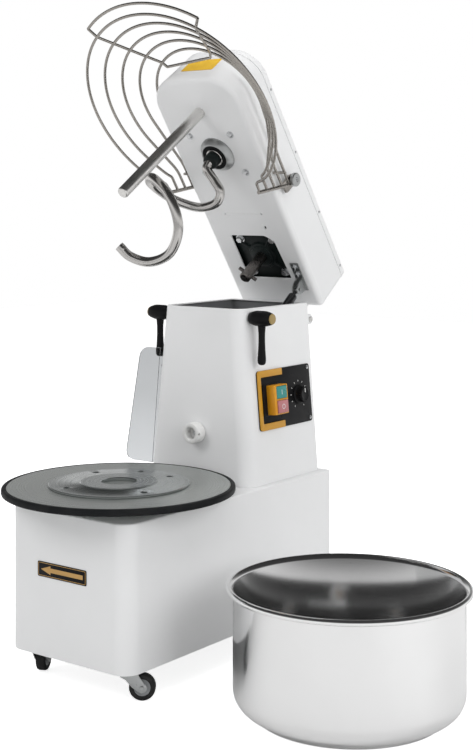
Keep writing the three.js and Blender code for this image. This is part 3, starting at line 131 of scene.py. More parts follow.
def makeLamps():
    for lamp in lamps:
        data = bpy.data.lights.new(lamp["name"], "AREA")
        data.energy = lamp["power"]
        data.size = lamp["size"]
        thing = addObject(lamp["name"], data)
        thing.location = lamp["place"]
        thing.visible_glossy = False      # polished steel mirrors the room, not the lamps
        reach = Vector(lamp["aim"]) - Vector(lamp["place"])
        thing.rotation_euler = reach.to_track_quat("-Z", "Y").to_euler()
    world = bpy.data.worlds.new("studio")
    world.use_nodes = True
    tree = world.node_tree
    place = addNode(tree, "ShaderNodeTexCoord")
    split = addNode(tree, "ShaderNodeSeparateXYZ")
    ramp = addNode(tree, "ShaderNodeValToRGB")
    room = tree.nodes["Background"]
    bright = addNode(tree, "ShaderNodeBackground", {"Color": (1, 1, 1, 1)})
    path = addNode(tree, "ShaderNodeLightPath")
    mix = addNode(tree, "ShaderNodeMixShader")
    lift = addNode(tree, "ShaderNodeMapRange", {"From Min": -1})
    # pale walls under a dark ceiling, so that bare steel has something to mirror
    stops = ramp.color_ramp.elements
    stops[0].position, stops[1].position = roomTones[0][0], roomTones[-1][0]
    stops[0].color, stops[1].color = [(v, v, v, 1) for v in (roomTones[0][1], roomTones[-1][1])]
    for spot, tone in roomTones[1:-1]:
        stops.new(spot).color = (tone, tone, tone, 1)
    plug(tree, (place, "Generated", split, 0), (split, "Z", lift, "Value"), (lift, "Result", ramp, "Fac"),
         (ramp, "Color", room, "Color"))
    seen = addNode(tree, "ShaderNodeMath", operation="MAXIMUM")
    glow = addNode(tree, "ShaderNodeMapRange", {"To Min": roomGlow})
    plug(tree, (path, "Is Camera Ray", seen, 0), (path, "Is Transmission Ray", seen, 1),
         (seen, 0, glow, "Value"), (glow, "Result", bright, "Strength"),
         (path, "Is Glossy Ray", mix, "Fac"), (bright, 0, mix, 1), (room, 0, mix, 2))
    shown = tree.nodes["World Output"]
    plug(tree, (mix, 0, shown, "Surface"))
    bpy.context.scene.world = world
    bpy.context.scene.view_settings.view_transform = "Standard"


makeLamps()
print("camera and lamps set")


# ---- shader groups shared by the finishes
def startGroup(name, inputs, outputs):
    tree = bpy.data.node_groups.new(name, "ShaderNodeTree")
    kinds = {"value": "NodeSocketFloat", "color": "NodeSocketColor", "vector": "NodeSocketVector"}
    for label, kind, value in inputs:
        socket = tree.interface.new_socket(name=label, in_out="INPUT", socket_type=kinds[kind])
        if value is not None:
            socket.default_value = value
    for label, kind in outputs:
        tree.interface.new_socket(name=label, in_out="OUTPUT", socket_type=kinds[kind])
    return tree, tree.nodes.new("NodeGroupInput"), tree.nodes.new("NodeGroupOutput")


def makeMottle():
    # a slow drift between two colours, such as uneven paint or handling marks
    tree, start, end = startGroup("mottle", [
        ("Color", "color", (0.8, 0.8, 0.8, 1)), ("Other", "color", (0.7, 0.7, 0.7, 1)),
        ("Scale", "value", 6), ("Amount", "value", 0.5)], [("Color", "color")])
    place = addNode(tree, "ShaderNodeTexCoord")
    noise = addNode(tree, "ShaderNodeTexNoise", {"Detail": 5, "Roughness": 0.6})
    ramp = addNode(tree, "ShaderNodeMapRange", {"From Min": 0.38, "From Max": 0.72})
    scale = addNode(tree, "ShaderNodeMath", operation="MULTIPLY")
    mix = addNode(tree, "ShaderNodeMix", data_type="RGBA")
    plug(tree, (place, "Object", noise, "Vector"), (start, "Scale", noise, "Scale"),
         (noise, "Fac", ramp, "Value"), (ramp, "Result", scale, 0), (start, "Amount", scale, 1),
         (scale, 0, mix, "Factor"), (start, "Color", mix, "A"), (start, "Other", mix, "B"),
         (mix, "Result", end, "Color"))
    return tree


def makeSmudge():
    # roughness that varies with finger marks and polish
    tree, start, end = startGroup("smudge", [
        ("Scale", "value", 9), ("Low", "value", 0.25), ("High", "value", 0.45)], [("Value", "value")])
    place = addNode(tree, "ShaderNodeTexCoord")
    noise = addNode(tree, "ShaderNodeTexNoise", {"Detail": 7, "Roughness": 0.65, "Distortion": 0.4})
    ramp = addNode(tree, "ShaderNodeMapRange", {"From Min": 0.3, "From Max": 0.75})
    plug(tree, (place, "Object", noise, "Vector"), (start, "Scale", noise, "Scale"),
         (noise, "Fac", ramp, "Value"), (start, "Low", ramp, "To Min"), (start, "High", ramp, "To Max"),
         (ramp, "Result", end, "Value"))
    return tree


def makeSkin():
    # fine surface relief: powder coat, moulded texture, cast skin
    tree, start, end = startGroup("skin", [
        ("Scale", "value", 900), ("Depth", "value", 0.00003), ("Strength", "value", 0.3)],
                                  [("Normal", "vector")])
    place = addNode(tree, "ShaderNodeTexCoord")
    noise = addNode(tree, "ShaderNodeTexNoise", {"Detail": 3, "Roughness": 0.55})
    bump = addNode(tree, "ShaderNodeBump")
    plug(tree, (place, "Object", noise, "Vector"), (start, "Scale", noise, "Scale"),
         (noise, "Fac", bump, "Height"), (start, "Depth", bump, "Distance"),
         (start, "Strength", bump, "Strength"), (bump, "Normal", end, "Normal"))
    return tree


def makeGrain():
    # long scratches of a brushed face; Stretch is the count per metre along X, Y and Z
    tree, start, end = startGroup("grain", [
        ("Stretch", "vector", (900, 900, 12)), ("Low", "value", 0.2), ("High", "value", 0.35),
        ("Depth", "value", 0.00002)], [("Value", "value"), ("Normal", "vector")])
    place = addNode(tree, "ShaderNodeTexCoord")
    spread = addNode(tree, "ShaderNodeVectorMath", operation="MULTIPLY")
    noise = addNode(tree, "ShaderNodeTexNoise", {"Scale": 1.0, "Detail": 4, "Roughness": 0.6})
    ramp = addNode(tree, "ShaderNodeMapRange", {"From Min": 0.3, "From Max": 0.7})
    bump = addNode(tree, "ShaderNodeBump", {"Strength": 0.25})
    plug(tree, (place, "Object", spread, 0), (start, "Stretch", spread, 1), (spread, 0, noise, "Vector"),
         (noise, "Fac", ramp, "Value"), (start, "Low", ramp, "To Min"), (start, "High", ramp, "To Max"),
         (noise, "Fac", bump, "Height"), (start, "Depth", bump, "Distance"), (ramp, "Result", end, "Value"),
         (bump, "Normal", end, "Normal"))
    return tree


def makeTurned():
    # fine rings round a vertical centre line, left by a lathe or a polishing wheel
    tree, start, end = startGroup("turned", [
        ("Centre", "vector", (0, 0, 0)), ("Rings", "value", 900), ("Low", "value", 0.2),
        ("High", "value", 0.35), ("Depth", "value", 0.00002)], [("Value", "value"), ("Normal", "vector")])
    place = addNode(tree, "ShaderNodeTexCoord")
    offset = addNode(tree, "ShaderNodeVectorMath", operation="SUBTRACT")
    flat = addNode(tree, "ShaderNodeVectorMath", {1: (1, 1, 0)}, operation="MULTIPLY")
    length = addNode(tree, "ShaderNodeVectorMath", operation="LENGTH")
    split = addNode(tree, "ShaderNodeSeparateXYZ")
    add = addNode(tree, "ShaderNodeMath", operation="ADD")
    rings = addNode(tree, "ShaderNodeMath", operation="MULTIPLY")
    noise = addNode(tree, "ShaderNodeTexNoise", {"Scale": 1.0, "Detail": 4, "Roughness": 0.6},
                    noise_dimensions="1D")
    ramp = addNode(tree, "ShaderNodeMapRange", {"From Min": 0.3, "From Max": 0.7})
    bump = addNode(tree, "ShaderNodeBump", {"Strength": 0.25})
    plug(tree, (place, "Object", offset, 0), (start, "Centre", offset, 1), (offset, 0, flat, 0),
         (flat, 0, length, 0), (offset, 0, split, 0), (length, "Value", add, 0), (split, "Z", add, 1),
         (add, 0, rings, 0), (start, "Rings", rings, 1), (rings, 0, noise, "W"),
         (noise, "Fac", ramp, "Value"), (start, "Low", ramp, "To Min"), (start, "High", ramp, "To Max"),
         (noise, "Fac", bump, "Height"), (start, "Depth", bump, "Distance"), (ramp, "Result", end, "Value"),
         (bump, "Normal", end, "Normal"))
    return tree


def makeWear():
    # mask of rubbed outer edges, broken up by noise
    tree, start, end = startGroup("wear", [
        ("Width", "value", 0.0015), ("Amount", "value", 0.6), ("Breakup", "value", 60)], [("Mask", "value")])
    place = addNode(tree, "ShaderNodeTexCoord")
    shape = addNode(tree, "ShaderNodeNewGeometry")
    bevel = addNode(tree, "ShaderNodeBevel", samples=4)
    dot = addNode(tree, "ShaderNodeVectorMath", operation="DOT_PRODUCT")
    edge = addNode(tree, "ShaderNodeMapRange", {"From Min": 0.97, "From Max": 0.80})
    noise = addNode(tree, "ShaderNodeTexNoise", {"Detail": 6, "Roughness": 0.7})
    broken = addNode(tree, "ShaderNodeMapRange", {"From Min": 0.45, "From Max": 0.62})
    both = addNode(tree, "ShaderNodeMath", operation="MULTIPLY")
    total = addNode(tree, "ShaderNodeMath", operation="MULTIPLY")
    plug(tree, (start, "Width", bevel, "Radius"), (shape, "Normal", dot, 0), (bevel, "Normal", dot, 1),
         (dot, "Value", edge, "Value"), (place, "Object", noise, "Vector"),
         (start, "Breakup", noise, "Scale"), (noise, "Fac", broken, "Value"), (edge, "Result", both, 0),
         (broken, "Result", both, 1), (both, 0, total, 0), (start, "Amount", total, 1),
         (total, 0, end, "Mask"))
    return tree


groups = {"mottle": makeMottle(), "smudge": makeSmudge(), "skin": makeSkin(), "grain": makeGrain(),
          "turned": makeTurned(), "wear": makeWear()}
print("shader groups made")


# ---- finishes, each kept under its own name
finishes = {}


def startFinish(name, roughness, metallic=0.0):
    material = bpy.data.materials.new(name)
    finishes[name] = material
    material.use_nodes = True
    shader = material.node_tree.nodes["Principled BSDF"]
    shader.inputs["Roughness"].default_value = roughness
    shader.inputs["Metallic"].default_value = metallic
    return material, shader


def useGroup(material, name, **values):
    node = material.node_tree.nodes.new("ShaderNodeGroup")
    node.node_tree = groups[name]
    for label, value in values.items():
        node.inputs[label].default_value = value
    return node


def addColor(material, shader, color, other, scale, amount, wear=None):
    # drifting colour, with a worn edge colour on top where wear = (colour, width, amount, breakup)
    mottle = useGroup(material, "mottle", Color=(*color, 1), Other=(*other, 1), Scale=scale, Amount=amount)
    if wear is None:
        plug(material.node_tree, (mottle, "Color", shader, "Base Color"))
        return
    rubbed, width, much, breakup = wear
    mask = useGroup(material, "wear", Width=width, Amount=much, Breakup=breakup)
    mix = addNode(material.node_tree, "ShaderNodeMix", {"B": (*rubbed, 1)}, data_type="RGBA")
    plug(material.node_tree, (mask, "Mask", mix, "Factor"), (mottle, "Color", mix, "A"),
         (mix, "Result", shader, "Base Color"))


def addSmudge(material, shader, scale, low, high):
    node = useGroup(material, "smudge", Scale=scale, Low=low, High=high)
    material.node_tree.links.new(node.outputs["Value"], shader.inputs["Roughness"])


def addSkin(material, shader, scale, depth, strength):
    node = useGroup(material, "skin", Scale=scale, Depth=depth, Strength=strength)
    material.node_tree.links.new(node.outputs["Normal"], shader.inputs["Normal"])


def addLines(material, shader, name, **values):
    node = useGroup(material, name, **values)
    plug(material.node_tree, (node, "Value", shader, "Roughness"), (node, "Normal", shader, "Normal"))


def paintFinish(name, color, other, low, high, skin=(900, 0.00004, 0.25), wear=None, coat=0.0, scale=5,
                amount=0.6, shine=0.5):
    material, shader = startFinish(name, low)
    shader.inputs["Specular IOR Level"].default_value = shine
    shader.inputs["Coat Weight"].default_value = coat
    shader.inputs["Coat Roughness"].default_value = 0.12
    addColor(material, shader, color, other, scale, amount, wear)
    addSmudge(material, shader, scale * 2.1, low, high)
    addSkin(material, shader, *skin)


def brushedFinish(name, color, other, low, high, stretch, depth=0.00002):
    material, shader = startFinish(name, low, 1.0)
    addColor(material, shader, color, other, 7, 0.5)
    addLines(material, shader, "grain", Stretch=stretch, Low=low, High=high, Depth=depth)


def paintInsideShade(material, shader, heart, tone):
    # painted shade: faces that look towards the heart of a vessel take a darker base colour, standing in for
    # the dim inside of the bowl
    tree = material.node_tree
    place = addNode(tree, "ShaderNodeTexCoord")
    offset = addNode(tree, "ShaderNodeVectorMath", {1: heart}, operation="SUBTRACT")
    facing = addNode(tree, "ShaderNodeVectorMath", operation="DOT_PRODUCT")
    inside = addNode(tree, "ShaderNodeMath", {1: 0.0}, operation="LESS_THAN")
    mix = addNode(tree, "ShaderNodeMix", {7: (tone, tone, tone, 1)}, data_type="RGBA", blend_type="MULTIPLY")
    link = tree.links.new
    plug(tree, (place, "Object", offset, 0), (offset, "Vector", facing, 0), (place, "Normal", facing, 1),
         (facing, "Value", inside, 0), (inside, 0, mix, 0))
    link(shader.inputs["Base Color"].links[0].from_socket, mix.inputs[6])
    plug(tree, (mix, 2, shader, "Base Color"))


def turnedFinish(name, color, other, low, high, rings, centre, metallic=1.0, depth=0.00002, heart=None,
                 tone=1.0):
    material, shader = startFinish(name, low, metallic)
    addColor(material, shader, color, other, 8, 0.5)
    # heart and tone paint shade onto the inside of a vessel
    if heart:
        paintInsideShade(material, shader, heart, tone)
    addLines(material, shader, "turned", Rings=rings, Centre=centre, Low=low, High=high, Depth=depth)


def clearFinish():
    material, shader = startFinish("clearSheet", 0.06)
    shader.inputs["Transmission Weight"].default_value = 1.0
    shader.inputs["IOR"].default_value = 1.2
    addColor(material, shader, (0.42, 0.43, 0.44), (0.36, 0.37, 0.38), 3, 0.6)
    addSmudge(material, shader, 14, 0.03, 0.12)


bowlAxis = tuple(axisPlace + Vector((bowlCentre[0], bowlCentre[1], 0)) * 0.001)
paintFinish("enamel", (0.86, 0.865, 0.87), (0.82, 0.825, 0.83), 0.30, 0.42,
            wear=((0.6, 0.6, 0.6), 0.0012, 0.25, 70), coat=0.15)
# dark finish for the column liner: painted shade for the inside of the column
paintFinish("paintedInnerShade", (0.20, 0.205, 0.21), (0.15, 0.155, 0.16), 0.45, 0.6)
paintFinish("trimRubber", (0.012, 0.013, 0.014), (0.03, 0.03, 0.03), 0.42, 0.6, skin=(500, 0.0001, 0.3),
            scale=14, shine=0.06)
paintFinish("tyreRubber", (0.015, 0.015, 0.016), (0.05, 0.048, 0.045), 0.5, 0.75, skin=(600, 0.0001, 0.4),
            scale=40, shine=0.2)
paintFinish("leverPlastic", (0.008, 0.008, 0.009), (0.016, 0.016, 0.016), 0.3, 0.48,
            skin=(1400, 0.0001, 0.45), scale=30, shine=0.08, wear=((0.05, 0.05, 0.05), 0.001, 0.4, 90))
paintFinish("panelPlastic", (0.007, 0.007, 0.008), (0.014, 0.014, 0.014), 0.25, 0.42,
            skin=(1800, 0.00004, 0.3), scale=20, shine=0.12)
paintFinish("frameYellow", (0.62, 0.31, 0.02), (0.54, 0.26, 0.018), 0.3, 0.45, skin=(1500, 0.00003, 0.3),
            scale=20, wear=((0.9, 0.62, 0.2), 0.0008, 0.5, 90))
paintFinish("boxOrange", (0.72, 0.32, 0.012), (0.62, 0.25, 0.01), 0.3, 0.42, skin=(1500, 0.00003, 0.3),
            scale=30, wear=((0.95, 0.5, 0.1), 0.0008, 0.5, 90))
paintFinish("startGreen", (0.035, 0.28, 0.26), (0.025, 0.22, 0.2), 0.25, 0.4, skin=(1500, 0.00003, 0.25),
            scale=40)
paintFinish("stopRed", (0.52, 0.20, 0.21), (0.42, 0.14, 0.15), 0.25, 0.4, skin=(1500, 0.00003, 0.25),
            scale=40)
paintFinish("markWhite", (0.8, 0.8, 0.78), (0.6, 0.6, 0.6), 0.4, 0.55, scale=60)
paintFinish("arrowYellow", (0.56, 0.33, 0.10), (0.46, 0.26, 0.08), 0.35, 0.5, scale=50)
paintFinish("labelYellow", (0.90, 0.56, 0.04), (0.80, 0.46, 0.03), 0.35, 0.5, scale=60)
paintFinish("capYellow", (0.36, 0.26, 0.10), (0.30, 0.21, 0.08), 0.3, 0.42, scale=60)
paintFinish("nylon", (0.84, 0.84, 0.83), (0.76, 0.76, 0.74), 0.35, 0.5, skin=(700, 0.00005, 0.3), scale=25)
paintFinish("castBlack", (0.007, 0.010, 0.010), (0.016, 0.024, 0.022), 0.3, 0.5, skin=(420, 0.0004, 0.5),
            scale=30, shine=0.15, wear=((0.1, 0.11, 0.11), 0.001, 0.5, 120))
paintFinish("strutBlack", (0.010, 0.010, 0.011), (0.02, 0.02, 0.02), 0.16, 0.26, skin=(900, 0.00002, 0.15),
            scale=25, coat=0.15, shine=0.3)
paintFinish("wheelGrey", (0.32, 0.33, 0.34), (0.24, 0.25, 0.25), 0.4, 0.6, scale=60,
            skin=(900, 0.00008, 0.35))
brushedFinish("zinc", (0.48, 0.49, 0.49), (0.36, 0.37, 0.37), 0.26, 0.46, (260, 260, 260))
brushedFinish("boltZinc", (0.66, 0.67, 0.68), (0.5, 0.51, 0.52), 0.2, 0.36, (500, 500, 500))
brushedFinish("polishedSteel", (0.60, 0.585, 0.57), (0.50, 0.485, 0.47), 0.14, 0.26, (300, 300, 300),
              0.00001)
brushedFinish("shaftSteel", (0.22, 0.205, 0.195), (0.15, 0.14, 0.13), 0.22, 0.36, (500, 500, 60), 0.00001)
brushedFinish("barSteel", (0.80, 0.79, 0.77), (0.70, 0.69, 0.67), 0.24, 0.42, (1400, 30, 30), 0.00003)
brushedFinish("wireSteel", (0.42, 0.395, 0.365), (0.33, 0.31, 0.285), 0.22, 0.34, (200, 200, 200), 0.00001)
# the bowl's inside takes painted shade: its base colour is multiplied by tone where faces look towards heart
turnedFinish("bowlSteel", (0.92, 0.92, 0.92), (0.86, 0.86, 0.86), 0.09, 0.19, 1500, bowlAxis, depth=0.00001,
             heart=(bowlAxis[0], bowlAxis[1], 0.19), tone=0.7)
turnedFinish("discMetal", (0.45, 0.47, 0.455), (0.38, 0.40, 0.39), 0.26, 0.4, 500, tuple(axisPlace), 0.75,
             0.00001)
turnedFinish("hubZinc", (0.54, 0.565, 0.56), (0.42, 0.445, 0.44), 0.2, 0.36, 420, tuple(axisPlace), 1.0,
             0.00004)
clearFinish()
print("finishes made:", len(finishes))


# ---- shape helpers; a part is (points, faces) in millimetres
def movePart(part, matrix):
    points, faces = part
    return [matrix @ Vector(p) for p in points], faces


def shift(x=0.0, y=0.0, z=0.0):
    return Matrix.Translation((x, y, z))


def spin(profile, sides=96, closed=False):
    points, faces, rings = [], [], []
    for radius, height in profile:
        if radius < 1e-6:
            rings.append([len(points)])
            points.append((0, 0, height))
            continue
        rings.append(list(range(len(points), len(points) + sides)))
        for k in range(sides):
            angle = 2 * pi * k / sides
            points.append((radius * cos(angle), radius * sin(angle), height))
    for a, b in zip(rings, rings[1:] + (rings[:1] if closed else [])):
        for k in range(sides):
            j = (k + 1) % sides
            if len(a) == 1 and len(b) == 1:
                break
            if len(a) == 1:
                faces.append((a[0], b[j], b[k]))
            elif len(b) == 1:
                faces.append((a[k], a[j], b[0]))
            else:
                faces.append((a[k], a[j], b[j], b[k]))
    return points, faces


def loft(rings, closed=False):
    # rings are lists of 3-D points, equal in number; closed joins the last ring to the first
    count = len(rings[0])
    points = [p for ring in rings for p in ring]
    faces = []
    last = len(rings) if closed else len(rings) - 1
    for r in range(last):
        s = (r + 1) % len(rings)
        for k in range(count):
            j = (k + 1) % count
            faces.append((r * count + k, r * count + j, s * count + j, s * count + k))
    if not closed:
        faces.append(tuple(range(count - 1, -1, -1)))
        faces.append(tuple((len(rings) - 1) * count + k for k in range(count)))
    return points, faces


def level(points, z):
    return [(x, y, z) for x, y in points]


def arc(x, y, radius, angles):
    return [(x + radius * cos(radians(t)), y + radius * sin(radians(t))) for t in angles]


def planShape(half, front, back, frontCorner, backCorner, inset=0.0, steps=14):
    w, y0, y1 = half - inset, front + inset, back - inset
    rf, rb = max(frontCorner - inset, 0.8), max(backCorner - inset, 0.8)
    corners = [(-w + rf, y0 + rf, rf, 180), (w - rf, y0 + rf, rf, 270), (w - rb, y1 - rb, rb, 0),
               (-w + rb, y1 - rb, rb, 90)]
    points = []
    for x, y, radius, start in corners:
        points += arc(x, y, radius, [start + 90 * i / steps for i in range(steps + 1)])
    return points


def panelShape(x0, x1, y0, y1, corner, steps=6, inset=0.0):
    shape = planShape((x1 - x0) / 2, y0, y1, corner, corner, inset, steps)
    return [(x + (x0 + x1) / 2, y) for x, y in shape]


def plate(x0, x1, y0, y1, z0, z1, corner, edge=0.6):
    # flat plate lying in XY with rounded corners and softened edges
    steps = [(z0, edge), (z0 + edge * 0.3, edge * 0.3), (z0 + edge, 0), (z1 - edge, 0),
             (z1 - edge * 0.3, edge * 0.3), (z1, edge)]
    return loft([level(panelShape(x0, x1, y0, y1, corner, 8, inset), z) for z, inset in steps])


def block(x0, x1, y0, y1, z0, z1, edge=0.8, segments=3):
    bm = bmesh.new()
    bmesh.ops.create_cube(bm, size=1)
    for v in bm.verts:
        v.co = Vector((x0 + (v.co.x + 0.5) * (x1 - x0), y0 + (v.co.y + 0.5) * (y1 - y0),
                       z0 + (v.co.z + 0.5) * (z1 - z0)))
    if edge > 0:
        bmesh.ops.bevel(bm, geom=bm.edges[:], offset=edge, segments=segments, profile=0.5, affect="EDGES")
    points = [v.co.copy() for v in bm.verts]
    faces = [tuple(v.index for v in f.verts) for f in bm.faces]
    bm.free()
    return points, faces


def drum(radius, z0, z1, sides=48, edge=0.8, topRadius=None):
    top = radius if topRadius is None else topRadius
    return spin([(0, z0), (radius - edge, z0), (radius - edge * 0.3, z0 + edge * 0.3), (radius, z0 + edge),
                 (top, z1 - edge), (top - edge * 0.3, z1 - edge * 0.3), (top - edge, z1), (0, z1)], sides)


def prism(outline, z0, z1):
    return loft([level(outline, z0), level(outline, z1)])


def polish(name, parts, matrix, soften=0.0, segments=2, cuts=(), unite=(), sharp=38):
    # one closed object from parts, with cuts taken out, edges softened and its place baked in
    mesh = bpy.data.meshes.new(name)
    points, faces = [], []
    for part in parts:
        start = len(points)
        points += [tuple(p) for p in part[0]]
        faces += [tuple(i + start for i in f) for f in part[1]]
    mesh.from_pydata(points, [], faces)
    thing = addObject(name, mesh)
    faceOut(mesh)
    helpers = []
    for operation, tools in (("UNION", unite), ("DIFFERENCE", cuts)):
        for tool in tools:
            toolMesh = bpy.data.meshes.new("tool")
            toolMesh.from_pydata([tuple(p) for p in tool[0]], [], tool[1])
            faceOut(toolMesh)
            helper = addObject("tool", toolMesh)
            helpers.append(helper)
            modifier = thing.modifiers.new("cut", "BOOLEAN")
            modifier.operation = operation
            modifier.solver = "EXACT"
            modifier.object = helper
    if soften > 0:
        modifier = thing.modifiers.new("soften", "BEVEL")
        modifier.width = soften
        modifier.segments = segments
        modifier.limit_method = "ANGLE"
        modifier.angle_limit = radians(40)
    if thing.modifiers:
        settle(thing)
    for helper in helpers:
        bpy.data.objects.remove(helper)
    faceOut(thing.data)
    thing.data.transform(matrix)
    smooth(thing.data, sharp)
    return thing


def settle(thing):
    # turns live modifiers into a plain mesh
    graph = bpy.context.evaluated_depsgraph_get()
    graph.update()
    made = bpy.data.meshes.new_from_object(thing.evaluated_get(graph), depsgraph=graph)
    thing.modifiers.clear()
    thing.data = made


def faceOut(mesh):
    bm = bmesh.new()
    bm.from_mesh(mesh)
    bmesh.ops.remove_doubles(bm, verts=bm.verts[:], dist=1e-5)
    bmesh.ops.recalc_face_normals(bm, faces=bm.faces[:])
    bm.to_mesh(mesh)
    bm.free()


def smooth(mesh, angle):
    mesh.shade_smooth()
    mesh.set_sharp_from_angle(angle=radians(angle))


def fit(thing, body, finish, replaced=()):
    thing.data.materials.clear()
    thing.data.materials.append(finishes[finish])
    if replaced:
        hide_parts(*replaced)
    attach(thing, body)
    return thing


def dress(node, finish):
    # a CAD node that keeps its own mesh gets a finish in its material slots
    thing = frame["nodes"][node]
    if not thing.material_slots:
        thing.data.materials.append(finishes[finish])
    for holder in thing.material_slots:
        holder.material = finishes[finish]


# ---- geometry node trees
def startTree(name, inputs):
    tree = bpy.data.node_groups.new(name, "GeometryNodeTree")
    tree.interface.new_socket(name="Geometry", in_out="INPUT", socket_type="NodeSocketGeometry")
    kinds = {float: "NodeSocketFloat", int: "NodeSocketInt", tuple: "NodeSocketVector",
             type(None): "NodeSocketMaterial"}
    for label, value in inputs:
        socket = tree.interface.new_socket(name=label, in_out="INPUT", socket_type=kinds[type(value)])
        if value is not None:
            socket.default_value = value
    tree.interface.new_socket(name="Geometry", in_out="OUTPUT", socket_type="NodeSocketGeometry")
    return tree, tree.nodes.new("NodeGroupInput"), tree.nodes.new("NodeGroupOutput")


def endTree(tree, start, end, geometry):
    realize = addNode(tree, "GeometryNodeRealizeInstances")
    paint = addNode(tree, "GeometryNodeSetMaterial")
    tree.links.new(geometry, realize.inputs["Geometry"])
    tree.links.new(realize.outputs["Geometry"], paint.inputs["Geometry"])
    tree.links.new(start.outputs["Material"], paint.inputs["Material"])
    tree.links.new(paint.outputs["Geometry"], end.inputs["Geometry"])
    return tree


def makeWireTree():
    # round wire along every spline of the curve it is given
    tree, start, end = startTree("wires", [("Radius", 3.0), ("Sides", 16), ("Material", None)])
    circle = addNode(tree, "GeometryNodeCurvePrimitiveCircle")
    sweep = addNode(tree, "GeometryNodeCurveToMesh", {"Fill Caps": True})
    soft = addNode(tree, "GeometryNodeSetShadeSmooth")
    plug(tree, (start, "Radius", circle, "Radius"), (start, "Sides", circle, "Resolution"),
         (start, "Geometry", sweep, "Curve"), (circle, "Curve", sweep, "Profile Curve"),
         (sweep, "Mesh", soft, "Geometry"))
    return endTree(tree, start, end, soft.outputs["Geometry"])


def makeFastenerTree():
    # a washer, a head and a domed or chamfered top at every point
    tree, start, end = startTree("fasteners", [
        ("Head Radius", 6.0), ("Head Height", 4.0), ("Sides", 6), ("Top Radius", 5.0), ("Top Height", 1.0),
        ("Washer Radius", 8.0), ("Washer Height", 1.2), ("Rotation", (0.0, 0.0, 0.0)), ("Material", None)])
    link = tree.links.new
    washer = addNode(tree, "GeometryNodeMeshCylinder", {"Vertices": 32})
    head = addNode(tree, "GeometryNodeMeshCylinder")
    top = addNode(tree, "GeometryNodeMeshCone")
    plug(tree, (start, "Washer Radius", washer, "Radius"), (start, "Washer Height", washer, "Depth"),
         (start, "Head Radius", head, "Radius"), (start, "Head Height", head, "Depth"),
         (start, "Sides", head, "Vertices"), (start, "Sides", top, "Vertices"),
         (start, "Head Radius", top, "Radius Bottom"), (start, "Top Radius", top, "Radius Top"),
         (start, "Top Height", top, "Depth"))
    join = addNode(tree, "GeometryNodeJoinGeometry")

    def stack(mesh, rise):
        # lifts a mesh by the height socket sums in rise: (socket, factor) pairs
        total = None
        for socket, factor in rise:
            scaled = addNode(tree, "ShaderNodeMath", {1: factor}, operation="MULTIPLY")
            plug(tree, (start, socket, scaled, 0))
            if total is None:
                total = scaled.outputs[0]
            else:
                both = addNode(tree, "ShaderNodeMath", operation="ADD")
                link(total, both.inputs[0])
                plug(tree, (scaled, 0, both, 1))
                total = both.outputs[0]
        offset = addNode(tree, "ShaderNodeCombineXYZ")
        move = addNode(tree, "GeometryNodeTransform")
        link(total, offset.inputs["Z"])
        link(mesh, move.inputs["Geometry"])
        plug(tree, (offset, 0, move, "Translation"), (move, "Geometry", join, "Geometry"))

    stack(washer.outputs["Mesh"], [("Washer Height", 0.5)])
    stack(head.outputs["Mesh"], [("Washer Height", 1.0), ("Head Height", 0.5)])
    stack(top.outputs["Mesh"], [("Washer Height", 1.0), ("Head Height", 1.0)])
    place = addNode(tree, "GeometryNodeInstanceOnPoints")
    plug(tree, (start, "Geometry", place, "Points"), (join, "Geometry", place, "Instance"),
         (start, "Rotation", place, "Rotation"))
    return endTree(tree, start, end, place.outputs["Instances"])


def makeRingTree():
    # small bars or dots evenly round a circle or part of one
    tree, start, end = startTree("ringMarks", [
        ("Count", 12), ("Ring Radius", 20.0), ("First Angle", 0.0), ("Sweep", 6.2832),
        ("Size", (1.0, 1.0, 1.0)), ("Material", None)])
    line = addNode(tree, "GeometryNodeMeshLine", {"Offset": (0, 0, 0)})
    index = addNode(tree, "GeometryNodeInputIndex")
    share = addNode(tree, "ShaderNodeMath", operation="DIVIDE")
    turn = addNode(tree, "ShaderNodeMath", operation="MULTIPLY_ADD")
    cosine = addNode(tree, "ShaderNodeMath", operation="COSINE")
    sine = addNode(tree, "ShaderNodeMath", operation="SINE")
    spot = addNode(tree, "ShaderNodeCombineXYZ")
    scale = addNode(tree, "ShaderNodeVectorMath", operation="SCALE")
    setPlace = addNode(tree, "GeometryNodeSetPosition")
    spinAngle = addNode(tree, "ShaderNodeCombineXYZ")
    bar = addNode(tree, "GeometryNodeMeshCube", {"Vertices X": 2, "Vertices Y": 2, "Vertices Z": 2})
    place = addNode(tree, "GeometryNodeInstanceOnPoints")
    plug(tree, (start, "Count", line, "Count"), (index, "Index", share, 0), (start, "Count", share, 1),
         (share, 0, turn, 0), (start, "Sweep", turn, 1), (start, "First Angle", turn, 2),
         (turn, 0, cosine, 0), (turn, 0, sine, 0), (cosine, 0, spot, "X"), (sine, 0, spot, "Y"),
         (spot, 0, scale, 0), (start, "Ring Radius", scale, "Scale"), (line, "Mesh", setPlace, "Geometry"),
         (scale, 0, setPlace, "Position"), (turn, 0, spinAngle, "Z"), (start, "Size", bar, "Size"),
         (setPlace, "Geometry", place, "Points"), (bar, "Mesh", place, "Instance"),
         (spinAngle, 0, place, "Rotation"))
    return endTree(tree, start, end, place.outputs["Instances"])


trees = {"wires": makeWireTree(), "fasteners": makeFastenerTree(), "ringMarks": makeRingTree()}
print("node trees made")


def grow(name, source, treeName, values, matrix, sharp=38):
    # runs a tree on source, a mesh or curve data block, and keeps the result as a plain mesh
    tree = trees[treeName]
    thing = addObject(name + "Seed", source)
    modifier = thing.modifiers.new("tree", "NODES")
    modifier.node_group = tree
    for item in tree.interface.items_tree:
        if item.item_type == "SOCKET" and item.in_out == "INPUT" and item.name in values:
            modifier[item.identifier] = values[item.name]
    graph = bpy.context.evaluated_depsgraph_get()
    graph.update()
    made = bpy.data.meshes.new_from_object(thing.evaluated_get(graph), depsgraph=graph)
    thing.modifiers.clear()
    bpy.data.objects.remove(thing)
    made.transform(matrix)
    faceOut(made)
    smooth(made, sharp)
    result = addObject(name, made)
    return result


